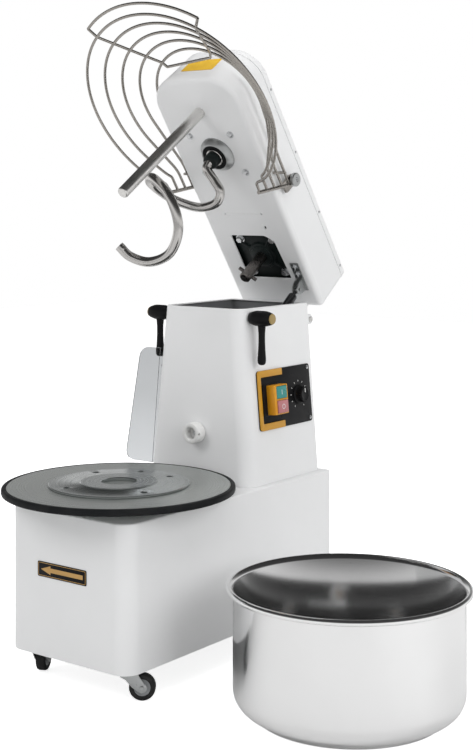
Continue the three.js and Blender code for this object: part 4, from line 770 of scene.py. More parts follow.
def pointMesh(points):
    mesh = bpy.data.meshes.new("points")
    mesh.from_pydata([tuple(p) for p in points], [], [])
    return mesh


def wireCurve(paths):
    # paths is a list of (points, radii or None)
    curve = bpy.data.curves.new("wire", "CURVE")
    curve.dimensions = "3D"
    for points, radii in paths:
        spline = curve.splines.new("POLY")
        spline.points.add(len(points) - 1)
        for i, p in enumerate(points):
            spline.points[i].co = (*p, 1)
            spline.points[i].radius = radii[i] if radii else 1
    return curve


def joinMeshes(name, things):
    # one mesh from several that share a finish
    mesh = bpy.data.meshes.new(name)
    bm = bmesh.new()
    for thing in things:
        bm.from_mesh(thing.data)
    bm.to_mesh(mesh)
    bm.free()
    for thing in things:
        bpy.data.objects.remove(thing)
    smooth(mesh, 38)
    result = addObject(name, mesh)
    return result


def roundPath(points, radius, steps=8):
    # replaces each inner corner of a bent wire by an arc-like bend
    corners = [Vector(p) for p in points]
    path = [corners[0]]
    for before, here, after in zip(corners, corners[1:], corners[2:]):
        a, b = (before - here), (after - here)
        reach = min(radius, a.length * 0.45, b.length * 0.45)
        a, b = here + a.normalized() * reach, here + b.normalized() * reach
        for i in range(steps + 1):
            t = i / steps
            path.append((1 - t) ** 2 * a + 2 * t * (1 - t) * here + t * t * b)
    return path + [corners[-1]]


def screws(name, points, matrix, turn, body, size=1.0, sides=24, washer=True):
    values = {"Head Radius": 4.0 * size, "Head Height": 1.2 * size, "Sides": sides, "Top Radius": 2.4 * size,
              "Top Height": 1.1 * size, "Washer Radius": 5.6 * size if washer else 3.9 * size,
              "Washer Height": 0.9 * size, "Rotation": turn, "Material": finishes["boltZinc"]}
    if sides == 6:
        values.update({"Head Height": 3.6 * size, "Top Radius": 3.5 * size, "Top Height": 0.5 * size})
    thing = grow(name, pointMesh(points), "fasteners", values, matrix, 30)
    return fit(thing, body, "boltZinc")


def rollEdge(ring, top, edge, steps):
    # rings that turn a wall over into the flat top; ring(z, inset) gives the outline
    angles = [radians(90 * i / steps) for i in range(steps + 1)]
    return [ring(top - edge + edge * sin(t), edge * (1 - cos(t))) for t in angles]


# ---- base housing, its underside and the label
base = {"half": 156, "front": -151, "back": 522, "bottom": 59, "top": 337, "frontCorner": 36,
        "backCorner": 8, "sheet": 2, "topEdge": 3.2, "bearingHole": 56, "driveWell": 62, "driveY": 383}


def makeBase():
    def ring(z, inset):
        return level(planShape(base["half"], base["front"], base["back"], base["frontCorner"],
                               base["backCorner"], inset), z)
    edge, sheet = base["topEdge"], base["sheet"]
    rings = [ring(base["top"] - sheet, sheet), ring(base["bottom"], sheet), ring(base["bottom"], 0)]
    rings += rollEdge(ring, base["top"], edge, 6)
    well, y = base["driveWell"], base["driveY"]
    shell = polish("baseShell", [loft(rings)], stand, cuts=[
        drum(base["bearingHole"], 300, 360, 64, 0.1),
        block(-well, well, y - well, y + well, 320, 350, 0)])
    fit(shell, "frame", "enamel", ["base_housing"])
    dress("base_plate", "zinc")


makeBase()

label = {"x": -8.5, "z": 225.5, "width": 127, "height": 29, "thick": 0.8, "front": -151.3}


def makeDirectionLabel():
    x0, x1 = label["x"] - label["width"] / 2, label["x"] + label["width"] / 2
    h = label["height"] / 2
    front = label["front"]
    turned = stand @ shift(0, front, label["z"]) @ toFront
    back = polish("directionLabel", [plate(x0, x1, -h, h, 0, label["thick"], 3, 0.2)], turned)
    fit(back, "frame", "panelPlastic", ["direction_label"])
    # arrow pointing to the operator's left, with a thin outline round the plate
    tip, neck, tail, barb, stem = x0 + 9, x0 + 34, x1 - 9, 8.5, 4.2
    arrow = [(tip, 0), (neck, -barb), (neck, -stem), (tail, -stem), (tail, stem), (neck, stem), (neck, barb)]
    outer = panelShape(x0 + 2, x1 - 2, -h + 2, h - 2, 2)
    inner = panelShape(x0 + 2.9, x1 - 2.9, -h + 2.9, h - 2.9, 1.4)
    rim = loft([level(outer, 0.75), level(outer, 0.95), level(inner, 0.95), level(inner, 0.75)], True)
    mark = polish("labelArrow", [prism(arrow, 0.75, 0.95), rim], turned)
    fit(mark, "frame", "arrowYellow")


makeDirectionLabel()

rearCover = {"half": 80, "bottom": 120, "top": 290, "back": 522.3, "sheet": 2, "slats": 9}


def makeRearCover():
    turned = stand @ shift(0, rearCover["back"], 0) @ toBack
    # toBack sends local Y to -Z, so heights are given negative
    low, high, half = -rearCover["top"], -rearCover["bottom"], rearCover["half"]
    cover = polish("rearCover", [plate(-half, half, low, high, 0, rearCover["sheet"], 6, 0.5)], turned)
    fit(cover, "frame", "enamel", ["service_cover"])
    points = [(x, y, rearCover["sheet"]) for x in (-half + 9, half - 9) for y in (low + 9, (low + high) / 2,
                                                                                  high - 9)]
    screws("rearCoverScrews", points, turned, (0.0, 0.0, 0.0), "frame", 0.9)
    slats = []
    for i in range(rearCover["slats"]):
        y = low + 46 + i * 9.5
        slats.append(movePart(drum(3.2, -42, 42, 20, 1.6), shift(0, y, rearCover["sheet"] - 1.4) @ toX))
    louvres = polish("rearLouvres", slats, turned, sharp=50)
    fit(louvres, "frame", "enamel")


makeRearCover()

gland = {"x": -110, "z": 100, "back": 522.3, "radius": 9}


def makeGland():
    r = gland["radius"]
    turned = stand @ shift(gland["x"], gland["back"], gland["z"]) @ toBack
    nut = spin([(0, 0), (r + 3.4, 0), (r + 4, 0.6), (r + 4, 9), (r + 3.4, 9.7), (0, 9.7)], 6)
    dome = spin([(0, -11), (r, -11), (r, 12), (r + 0.4, 13), (r + 0.2, 16), (r - 1.4, 20), (r - 3.4, 21.7),
                 (4.4, 21.7), (4, 20.8), (4, 12), (0, 12)], 48)
    body = polish("cableGland", [nut, dome], turned)
    fit(body, "frame", "panelPlastic", ["cable_gland"])
    ribs = grow("glandRibs", pointMesh([(0, 0, 0)]), "ringMarks", {
        "Count": 16, "Ring Radius": r + 0.1, "Size": (1.0, 1.1, 5.0), "Material": finishes["panelPlastic"]},
        turned @ shift(0, 0, 14))
    fit(ribs, "frame", "panelPlastic")


makeGland()
print("base made")


# ---- casters
caster = {"x": 116, "front": -104, "back": 475, "trail": 27, "wheel": 25, "width": 20, "top": 58.7,
          "turns": {"front_right": 37, "front_left": 117, "back_right": 60, "back_left": 100}}


def makeCasters():
    r, half = caster["wheel"], caster["width"] / 2
    inner, outer = half + 0.9, half + 3.1
    for name, angle in caster["turns"].items():
        x = caster["x"] if name.endswith("right") else -caster["x"]
        y = caster["front"] if name.startswith("front") else caster["back"]
        place = stand @ shift(x, y, 0) @ rotate(angle, "Z")
        hub = shift(caster["trail"], 0, r)
        side = [(-14, r * 2 + 4), (-14, r * 2 - 4), (-4, r + 16), (8, r + 2), (caster["trail"] - 8, r - 6)]
        side += arc(caster["trail"], r, 9, range(-130, 61, 19))
        side += [(21, r * 2 - 2), (20, r * 2 + 4)]
        cheeks = [movePart(prism(side, z0, z1), toFront) for z0, z1 in ((inner, outer), (-outer, -inner))]
        parts = cheeks + [
            plate(-27, 27, -20, 20, caster["top"] - 2.4, caster["top"], 5, 0.4),
            drum(17, r * 2 + 3.2, caster["top"] - 2, 48, 1.2),
            drum(20, caster["top"] - 4.6, caster["top"] - 2, 48, 0.8),
            block(-14, 20, -outer, outer, r * 2 + 1.6, r * 2 + 4, 0.7),
            movePart(drum(4.6, -outer - 2.2, outer + 2.2, 6, 0.5), hub @ toFront)]
        fork = polish("casterFork_" + name, parts, place, soften=0.35)
        fit(fork, "swivel_" + name, "zinc", ["caster_fork_" + name])
        tyre = spin([(15.5, -half + 1.5), (19, -half), (r - 4, -half), (r - 1.2, -half + 1.4),
                     (r, -half + 4.4), (r, half - 4.4), (r - 1.2, half - 1.4), (r - 4, half), (19, half),
                     (15.5, half - 1.5)], 72, True)
        wheel = polish("casterTyre_" + name, [tyre], place @ hub @ toFront)
        fit(wheel, "wheel_" + name, "tyreRubber", ["caster_wheel_" + name])
        core = spin([(4.7, -half + 0.4), (7, -half + 0.4), (8, -half + 2.6), (13, -half + 3),
                     (15.6, -half + 1.4), (15.6, half - 1.4), (13, half - 3), (8, half - 2.6),
                     (7, half - 0.4), (4.7, half - 0.4)], 48, True)
        middle = polish("casterCore_" + name, [core], place @ hub @ toFront)
        fit(middle, "wheel_" + name, "wheelGrey")


makeCasters()
print("casters made")


# ---- column, bumper and splash guard
column = {"foot": 337.3, "top": 703, "halfFoot": 139.4, "halfTop": 106.6, "frontFoot": 243.7,
          "frontTop": 254.8, "backFoot": 500.5, "backTop": 505.8, "corner": 32, "backCorner": 8, "sheet": 2,
          "lip": 9}


def columnAt(z, low, high):
    return column[low] + (z - 337) / 366 * (column[high] - column[low])


def columnHalf(z):
    return columnAt(z, "halfFoot", "halfTop")


def columnFront(z):
    return columnAt(z, "frontFoot", "frontTop")


def columnBack(z):
    return columnAt(z, "backFoot", "backTop")


wallLean = math.atan((column["halfFoot"] - column["halfTop"]) / 366)
panelZ = 509.5
onWall = shift(columnHalf(panelZ), 0, panelZ) @ Matrix.Rotation(-wallLean, 4, "Y")
rightWall = stand @ onWall


def makeColumn():
    def ring(z, inset):
        return level(planShape(columnHalf(z), columnFront(z), columnBack(z), column["corner"],
                               column["backCorner"], inset), z)
    top, sheet, edge = column["top"], column["sheet"], 2.0
    rings = [ring(column["foot"], sheet), ring(column["foot"], 0)]
    rings += rollEdge(ring, top, edge, 4)
    rings += [ring(top, column["lip"] - 0.5), ring(top - 0.5, column["lip"]),
              ring(top - sheet, column["lip"]), ring(top - sheet, sheet + 1), ring(top - sheet - 1, sheet)]
    window = movePart(block(-20, 20, 306, 472, -48.5, 48.5, 0), onWall)
    shell = polish("columnShell", [loft(rings, True)], stand, cuts=[
        window, movePart(drum(5.8, -130, 130, 32, 0.1), shift(0, 288, 684) @ toX)])
    fit(shell, "frame", "enamel", ["column_housing"])
    # a dark liner just inside the column walls: painted shade for the dim inside of the column
    coat = (sheet + 0.2, sheet + 0.7)
    low, high = column["foot"] + 2, top - sheet - 1.5
    skin = [ring(low, coat[0]), ring(high, coat[0]), ring(high, coat[1]), ring(low, coat[1])]
    shadeLiner = polish("columnShadeLiner", [loft(skin, True)], stand, cuts=[window])
    fit(shadeLiner, "frame", "paintedInnerShade")


makeColumn()

bumper = {"z": 440, "radius": 22, "hole": 13, "length": 24}


def makeBumper():
    r, h, n = bumper["radius"], bumper["hole"], bumper["length"]
    wall = columnFront(bumper["z"] - r) - 0.3
    body = spin([(0, 5), (h - 1, 5), (h, 6), (h, n - 1.6), (h + 0.6, n - 0.5), (h + 1.8, n), (r - 3, n),
                 (r - 1, n - 0.8), (r, n - 3), (r, 0.6), (r - 0.6, 0), (0, 0)], 72)
    hole = movePart(drum(2.4, 0, 14, 20, 0.05), rotate(62, "Y") @ shift(0, 0, r - 8))
    turned = stand @ shift(0, wall, bumper["z"]) @ toFront
    thing = polish("bowlBumper", [body], turned, cuts=[movePart(hole, shift(0, 0, 9))])
    fit(thing, "frame", "nylon", ["bowl_bumper"])
    screws("bumperScrew", [(0, 0, 5)], turned, (0.0, 0.0, 0.0), "frame", 1.2)


makeBumper()

splash = {"y": 262, "thick": 3, "bottom": 358, "top": 609, "outBottom": 218, "outTop": 172, "flange": 30}


def makeSplashGuard():
    def inner(z):
        return -columnHalf(z) - 0.5
    low, high, y = splash["bottom"], splash["top"], splash["y"]
    corners = [(inner(low), low, 0), (-splash["outBottom"], low, 0), (-splash["outTop"], high, 0),
               (inner(high), high, 0)]
    outline = [tuple(corners[0][:2])]
    outline += [tuple(p[:2]) for p in roundPath(corners, 26)[1:-1]]
    outline += [tuple(corners[-1][:2])]
    wing = movePart(prism(outline, -y - splash["thick"], -y), toFront)
    flange = loft([[(inner(z), y, z), (inner(z), y + splash["flange"], z),
                    (inner(z) - splash["thick"], y + splash["flange"], z),
                    (inner(z) - splash["thick"], y, z)]
                   for z in (low, high)])
    sheet = polish("splashSheet", [wing], stand, soften=0.5, unite=[flange])
    fit(sheet, "frame", "clearSheet", ["splash_guard"])
    points = [(inner(z) - splash["thick"], y + 18, z) for z in (low + 40, high - 40)]
    screws("splashScrews", points, stand, (0.0, radians(-90), 0.0), "frame", 1.1)


makeSplashGuard()
print("column made")


# ---- control panel on the right wall; local x points out of the wall, y back, z up
panel = {"front": 292, "back": 486, "half": 62.5, "thick": 2, "bezelBack": 380, "band": 14, "sideBand": 11,
         "bezel": 2.5, "switchY": 336, "switchDepth": 24, "timerY": 440, "centre": -0.5}


def makePanel():
    face = rightWall @ upright
    front, back, half = panel["front"], panel["back"], panel["half"]
    x1 = 0.3 + panel["thick"]
    shaftHole = movePart(drum(5, -5, 10, 32, 0.05), shift(panel["timerY"], panel["centre"], 0))
    body = polish("panelPlate", [plate(front, back, -half, half, 0.3, x1, 7, 0.6)], face, cuts=[
        shaftHole, block(316.7, 355.3, -21.8, 20.8, -5, 10, 0)])
    fit(body, "frame", "panelPlastic", ["control_panel"])

    b0, b1 = x1 + 0.3, x1 + 0.3 + panel["bezel"]
    edge, side, band = panel["bezelBack"], panel["sideBand"], panel["band"]
    outer = panelShape(front, edge + 20, -half, half, 7, 8)
    cutter = block(front + side, edge + 40, -half + band, half - band, b0 - 5, b1 + 5, 3, 3)
    bezel = polish("panelFrame", [prism(outer, b0, b1)], face, soften=0.5, cuts=[
        cutter, block(edge, edge + 60, -80, 80, b0 - 5, b1 + 5, 0)])
    fit(bezel, "frame", "frameYellow", ["panel_bezel"])
    points = [(panel["back"] - 8, v, x1) for v in (-half + 8, half - 8)]
    screws("panelScrews", points, face, (0.0, 0.0, 0.0), "frame", 0.7)

    y, depth, c = panel["switchY"], panel["switchDepth"], panel["centre"]
    s1 = b0 + depth
    rim = polish("switchBase", [block(y - 31, y + 31, c - 33, c + 33, b0, b0 + 4, 1, 3)], face)
    fit(rim, "frame", "panelPlastic")
    housing = block(y - 18, y + 30.6, c - 31, c + 31, b0, s1, 2.5, 4)
    spigot = block(y - 18.7, y + 18.7, c - 20.8, c + 20.8, -2.7, b0 + 1, 0)
    cuts = [block(y + 8 - 18.6, y + 8 + 18.6, c + s * 15 - 13.6, c + s * 15 + 13.6, s1 - 9, s1 + 3,
                  0) for s in (1, -1)]
    box = polish("switchHousing", [housing], face, cuts=cuts, unite=[spigot], sharp=30)
    fit(box, "frame", "boxOrange", ["switch_box"])
    for name, sign, proud, finish, slotName in (("start_button", 1, 1.0, "startGreen", "green_plastic"),
                                                ("stop_button", -1, 3.0, "stopRed", "red_plastic")):
        mid = c + sign * 15
        cap = polish(name.replace("_b", "B"), [block(y - 10, y + 26, mid - 13, mid + 13, s1 - 5.7,
                                                     s1 + proud, 1.8, 4)],
                     face)
        fit(cap, name, finish, [name])
        if sign > 0:
            shapes = [block(y + 7.2, y + 8.8, mid - 5, mid + 5, s1 + proud - 0.4, s1 + proud + 0.25, 0.1, 1)]
        else:
            shapes = [movePart(spin([(4.2, 0), (5.4, 0), (5.4, 0.65), (4.2, 0.65)], 40, True),
                              shift(y + 8, mid, s1 + proud - 0.4))]
        mark = polish(name.replace("_button", "Mark"), shapes, face)
        fit(mark, name, "markWhite")
    dress("switch_body", "panelPlastic")
    dress("timer_body", "panelPlastic")

    t = panel["timerY"]
    knobPlace = face @ shift(t, c, 0)
    k0 = x1 + 0.6
    knob = spin([(0, -11.7), (3, -11.7), (3, k0), (20.4, k0), (21, k0 + 0.6), (20.8, k0 + 1.8),
                 (19.6, k0 + 2.8), (17.2, k0 + 3.4), (16.6, k0 + 4.4), (15.6, k0 + 15), (14.8, k0 + 16.6),
                 (13.2, k0 + 17.2), (12, k0 + 16.6), (0, k0 + 16.6)], 72)
    body = polish("timerKnob", [knob], knobPlace)
    fit(body, "timer_knob", "panelPlastic", ["timer_knob"])
    ribs = grow("knobRibs", pointMesh([(0, 0, 0)]), "ringMarks", {
        "Count": 28, "Ring Radius": 16.1, "Size": (1.4, 1.5, 10.5), "Material": finishes["panelPlastic"]},
        knobPlace @ shift(0, 0, k0 + 9.6))
    fit(ribs, "timer_knob", "panelPlastic")
    pointer = polish("knobPointer", [block(-0.9, 0.9, 4, 13.4, k0 + 16.2, k0 + 17.6, 0.2, 2)], knobPlace)
    fit(pointer, "timer_knob", "markWhite")
    marks = grow("dialMarks", pointMesh([(0, 0, 0)]), "ringMarks", {
        "Count": 11, "Ring Radius": 29.0, "First Angle": radians(-57), "Sweep": radians(322),
        "Size": (3.4, 1.3, 0.4), "Material": finishes["markWhite"]}, knobPlace @ shift(0, 0, x1 + 0.1))
    fit(marks, "frame", "markWhite")


makePanel()
print("panel made")


# ---- clamp levers
clamp = {"y": 288, "z": 684, "barrel": 16, "length": 54}


def makeClamps():
    x0 = columnHalf(clamp["z"] - clamp["barrel"]) + 0.3
    n, r = clamp["length"], clamp["barrel"]
    centre = shift(x0, clamp["y"], clamp["z"])
    barrel = spin([(0, -12), (4.8, -12), (4.8, 0), (r - 5, 0), (r - 3.6, 1), (r - 1, 10), (r, 15),
                   (r, n - 16), (r - 0.8, n - 11), (r - 3, n - 3), (r - 4, n - 0.8), (r - 5, n), (0, n)], 64)
    # the arm hangs from the barrel and flares at its tip
    profile = [(-97, 0.5), (-96.4, 4.2), (-95, 6.2), (-92, 7.8), (-87, 8.4), (-80, 8.2), (-66, 7.2),
               (-48, 6.5), (-30, 6.6), (-18, 7.6), (-8, 9.2)]
    rings = []
    for z, w in profile:
        rings.append([(w * math.copysign(abs(cos(a)) ** 0.8, cos(a)),
                       w * math.copysign(abs(sin(a)) ** 0.8, sin(a)), z)
                      for a in (2 * pi * k / 40 for k in range(40))])
    arm = movePart(loft(rings), shift(n * 0.52, 0, 0))
    cap = spin([(0, n + 0.3), (r - 5.2, n + 0.3), (r - 5, n + 0.6), (r - 5, n + 1.8), (r - 5.8, n + 2.8),
                (r - 8, n + 3.2), (0, n + 3.3)], 48)
    flip = shift(0, clamp["y"], 0) @ Matrix.Rotation(pi, 4, "Z") @ shift(0, -clamp["y"], 0)
    for side, turn in (("right", Matrix.Identity(4)), ("left", flip)):
        place = stand @ turn @ centre
        lever = polish("clampLever_" + side, [movePart(barrel, toX)], place, unite=[arm], sharp=50)
        fit(lever, "clamp_" + side, "leverPlastic", ["clamp_lever_" + side])
        button = polish("clampCap_" + side, [movePart(cap, toX)], place)
        fit(button, "clamp_" + side, "capYellow", ["clamp_cap_" + side])


makeClamps()


# ---- drive inside the column
coupling = {"y": 383, "outer": 30.5, "bore": 26.5, "bottom": 568, "floor": 618, "top": 656}


def makeDrive():
    r, bore = coupling["outer"], coupling["bore"]
    cup = spin([(0, 300.3), (9, 300.3), (9, coupling["bottom"]), (r - 1, coupling["bottom"]),
                (r, coupling["bottom"] + 1), (r, coupling["top"] - 1.2), (r - 0.4, coupling["top"] - 0.4),
                (r - 1.2, coupling["top"]), (bore + 1.5, coupling["top"]), (bore, coupling["top"] - 2),
                (bore, coupling["floor"]), (0, coupling["floor"])], 72)
    dogs = [movePart(block(14, bore + 0.8, -4, 4, 619, 628, 0.6), rotate(a, "Z"))
            for a in (20, 200)]
    socket = polish("driveSocket", [cup] + dogs, stand @ shift(0, coupling["y"], 0))
    fit(socket, "column_drive", "zinc", ["drive_coupling"])
    for node, finish in (("gear_motor", "castBlack"), ("turntable_bearing", "castBlack"),
                         ("drive_sprocket", "zinc"), ("turntable_chain", "zinc"),
                         ("turntable_shaft", "zinc")):
        dress(node, finish)


makeDrive()


# ---- turntable
table = {"disc": 220, "top": 370, "thick": 7, "rim": 230, "trimBottom": 357, "hub": 139, "hubPlate": 4,
         "step": 76.5, "stepHeight": 2.5, "hole": 35, "lugCircle": 112, "lugs": (67, 109, 157, 247, 337),
         "lugHole": 6.5}


def makeTurntable():
    top, r = table["top"], table["disc"]
    disc = polish("turntableDisc", [spin([(0, top - table["thick"]), (r, top - table["thick"]),
                                          (r, top - 0.7), (r - 0.7, top), (0, top)], 180)], stand)
    fit(disc, "turntable", "discMetal", ["turntable_disc"])
    a, b, low = r + 0.3, table["rim"], table["trimBottom"]
    # a soft edge strip that rolls over the rim of the disc
    strip = [(a, low), (b - 3, low), (b - 1, low + 1), (b, low + 3.4), (b, top - 4), (b - 0.5, top - 2),
             (b - 1.8, top - 0.6), (b - 3.6, top), (a + 2, top), (a, top - 0.4)]
    trim = polish("edgeStrip", [spin(strip, 180, True)], stand, sharp=45)
    fit(trim, "turntable", "trimRubber", ["turntable_trim"])
    z0, hub, step = top + 0.3, table["hub"], table["step"]
    z1 = z0 + table["hubPlate"]
    z2 = z1 + table["stepHeight"]
    shape = spin([(table["hole"], z0), (hub - 0.8, z0), (hub, z0 + 0.8), (hub, z1 - 1), (hub - 1, z1),
                  (step + 1.4, z1), (step, z1 + 0.8), (step, z2 - 0.9), (step - 0.9, z2),
                  (table["hole"] + 1.2, z2), (table["hole"], z2 - 1.2)], 144, True)
    holes = []
    for angle in table["lugs"]:
        at = shift(table["lugCircle"] * cos(radians(angle)), table["lugCircle"] * sin(radians(angle)))
        holes.append(movePart(spin([(0, z0 - 3), (table["lugHole"], z0 - 3), (table["lugHole"], z1 - 0.8),
                                    (table["lugHole"] + 1.6, z1 + 0.8), (0, z1 + 0.8)], 40), at))
    plateHub = polish("hubPlate", [shape], stand, cuts=holes)
    fit(plateHub, "turntable", "hubZinc", ["hub_plate"])


makeTurntable()
print("turntable made")


# ---- hinge
hinge = {"y": 523, "z": 664.5, "pin": 6, "barrel": 11, "half": 100, "knuckle": 34}


def makeHinge():
    y, z, r, half = hinge["y"], hinge["z"], hinge["barrel"], hinge["half"]
    inner = half - hinge["knuckle"]
    z0, z1 = z - 26, z + 14
    wall = columnBack(z1) + 0.3
    along = shift(0, y, z) @ toX
    bore = [movePart(drum(hinge["pin"] + 0.3, -half - 8, half + 8, 40, 0.05), along)]
    parts = [block(-half, half, wall, wall + 3.5, z0, z1, 0.8)]
    for a, b in ((-half, -inner), (inner, half)):
        parts.append(movePart(drum(r, a, b, 56, 1.2), along))
        parts.append(block(a, b, wall + 1, y, z - r * 0.8, z + r * 0.8, 0.6))
    bracket = polish("columnKnuckles", parts[:1], stand, cuts=bore, unite=parts[1:])
    fit(bracket, "frame", "enamel", ["column_hinge_bracket"])
    pin = polish("hingePin", [movePart(drum(hinge["pin"], -half - 3, half + 3, 48, 1), along)], stand)
    fit(pin, "frame", "barSteel", ["hinge_pin"])
    screws("hingeScrews", [(x, wall + 3.5, z1 - 32) for x in (-50, -17, 17, 50)], stand,
           (radians(-90), 0.0, 0.0), "frame", 1.1, 6)
    mid = inner - 1
    back = 521.3
    arm = block(-mid, mid, back, back + 5, z, 774, 0.8)
    knuckle = polish("headKnuckle", [movePart(drum(r, -mid, mid, 56, 1.2), along)], raised, cuts=bore,
                     unite=[arm])
    fit(knuckle, "head", "enamel", ["head_hinge_bracket"])
    screws("headHingeBolts", [(x, back + 5, h) for x in (-48, 0, 48) for h in (724, 758)], raised,
           (radians(-90), 0.0, 0.0), "head", 1.2, 6)


makeHinge()


# ---- head shell
head = {"under": 704, "nose": -79, "back": 521, "halfBottom": 113, "halfTop": 107, "noseCorner": 66,
        "backCorner": 12, "seam": 108, "height": 127.6, "wall": 3, "edge": 12, "spindleY": 106,
        "spindleHole": 41.3}


def headRing(z, inset, grow=0.0):
    half = head["halfBottom"] + (z - head["under"]) / head["height"] * (head["halfTop"] - head["halfBottom"])
    plan = planShape(half + grow, head["nose"], head["back"], head["noseCorner"], head["backCorner"], inset, 18)
    return level(plan, z)


def headHalf(z):
    return head["halfBottom"] + (z - head["under"]) / head["height"] * (head["halfTop"] - head["halfBottom"])


def makeHeadShell():
    under, edge, wall = head["under"], head["edge"], head["wall"]
    seam = under + head["seam"]
    rings = [headRing(under + wall, edge), headRing(under + edge, wall), headRing(seam, wall),
             headRing(seam, 0)]
    for i in range(9):
        angle = radians(90 - 90 * i / 8)
        rings.append(headRing(under + edge * (1 - cos(angle)), edge * (1 - sin(angle))))
    corners = [(0, 323), (33, 323), (54, 337), (60, 442), (-60, 442), (-60, 323), (0, 323)]
    opening = [tuple(p[:2]) for p in roundPath([(x, y, 0) for x, y in corners], 6)]
    cuts = [movePart(drum(head["spindleHole"], under - 5, under + 10, 96, 0.05), shift(0, head["spindleY"])),
            movePart(drum(7.3, under - 5, under + 10, 32, 0.05), shift()),
            prism(opening, under - 5, under + 12)]
    slot = block(42, 48, 297, 305, under - 5, under + 10, 0)
    groove = block(-44, 44, 263.4, 264.6, under - 1, under + 0.9, 0)
    shell = polish("headShell", [loft(rings)], raised, cuts=cuts + [slot, groove])
    fit(shell, "head", "enamel", ["head_housing"])

    z0, top = seam + 0.3, under + head["height"]
    rings = [headRing(top - wall, 9, 1), headRing(top - 8, wall, 1), headRing(z0, wall, 1),
             headRing(z0, 0.4, 1.2), headRing(z0 + 0.5, 0, 1.2)]
    rings += rollEdge(lambda z, inset: headRing(z, inset, 1), top, 8, 8)
    cover = polish("headCover", [loft(rings)], raised)
    fit(cover, "head", "enamel", ["head_cover"])
    reach = headHalf(seam + 8) + 1.1
    for side, turn in ((1, 90), (-1, -90)):
        points = [(side * (reach - 0.4), y, seam + 7) for y in (20, 180, 340, 490)]
        screws("coverScrews" + ("Right" if side > 0 else "Left"), points, raised, (0.0, radians(turn), 0.0),
               "head", 0.7, washer=False)
    badge = polish("nosePlate", [plate(-42, 42, under + 40, under + 84, 0, 0.8, 3, 0.2)],
                   raised @ shift(0, head["nose"] - 0.3, 0) @ toFront)
    fit(badge, "head", "labelYellow", ["nose_label"])


makeHeadShell()
print("head shell made")


# ---- breaker bar, spindle and spiral; a station is (degrees round the axis, distance off it, depth)
tools = {"barRadius": 12, "barLength": 300, "shaft": 20, "wire": 10, "housing": 41, "seal": 29,
         "sealDrop": 14, "hub": 17, "hubEnd": 36,
         "stations": [(-150, 0, 27), (-150, 5, 35), (-112, 12, 45), (-70, 36, 55), (-66, 59, 65),
                      (-82, 76, 76), (-107, 82, 88), (-132, 80, 101), (-160, 76, 120), (-205, 74, 153),
                      (-257, 69, 190), (-311, 65, 226), (-364, 63, 258), (-414, 63, 284), (-460, 65, 300),
                      (-497, 69, 307), (-523, 74, 305)]}


def splinePoints(stations, steps=9):
    # Catmull-Rom through the stations
    ends = [stations[0] * 2 - stations[1]] + stations + [stations[-1] * 2 - stations[-2]]
    path = []
    for i in range(1, len(ends) - 2):
        p0, p1, p2, p3 = ends[i - 1:i + 3]
        for k in range(steps):
            t = k / steps
            path.append(0.5 * (2 * p1 + (p2 - p0) * t + (2 * p0 - 5 * p1 + 4 * p2 - p3) * t * t
                               + (3 * p1 - p0 - 3 * p2 + p3) * t ** 3))
    return path + [stations[-1]]


def roundTip(points, radius, steps=6):
    # shrinks the last wire radius so that the end is a dome; gives (points, radii)
    inward = (points[-2] - points[-1]).normalized()
    end = points[-1]
    body = [p for p in points if (p - end).length > radius]
    radii = [1.0] * len(body)
    for k in range(steps + 1):
        angle = radians(90 * k / steps)
        body.append(end + inward * radius * (1 - sin(angle)))
        radii.append(max(cos(angle), 0.02))
    return body, radii


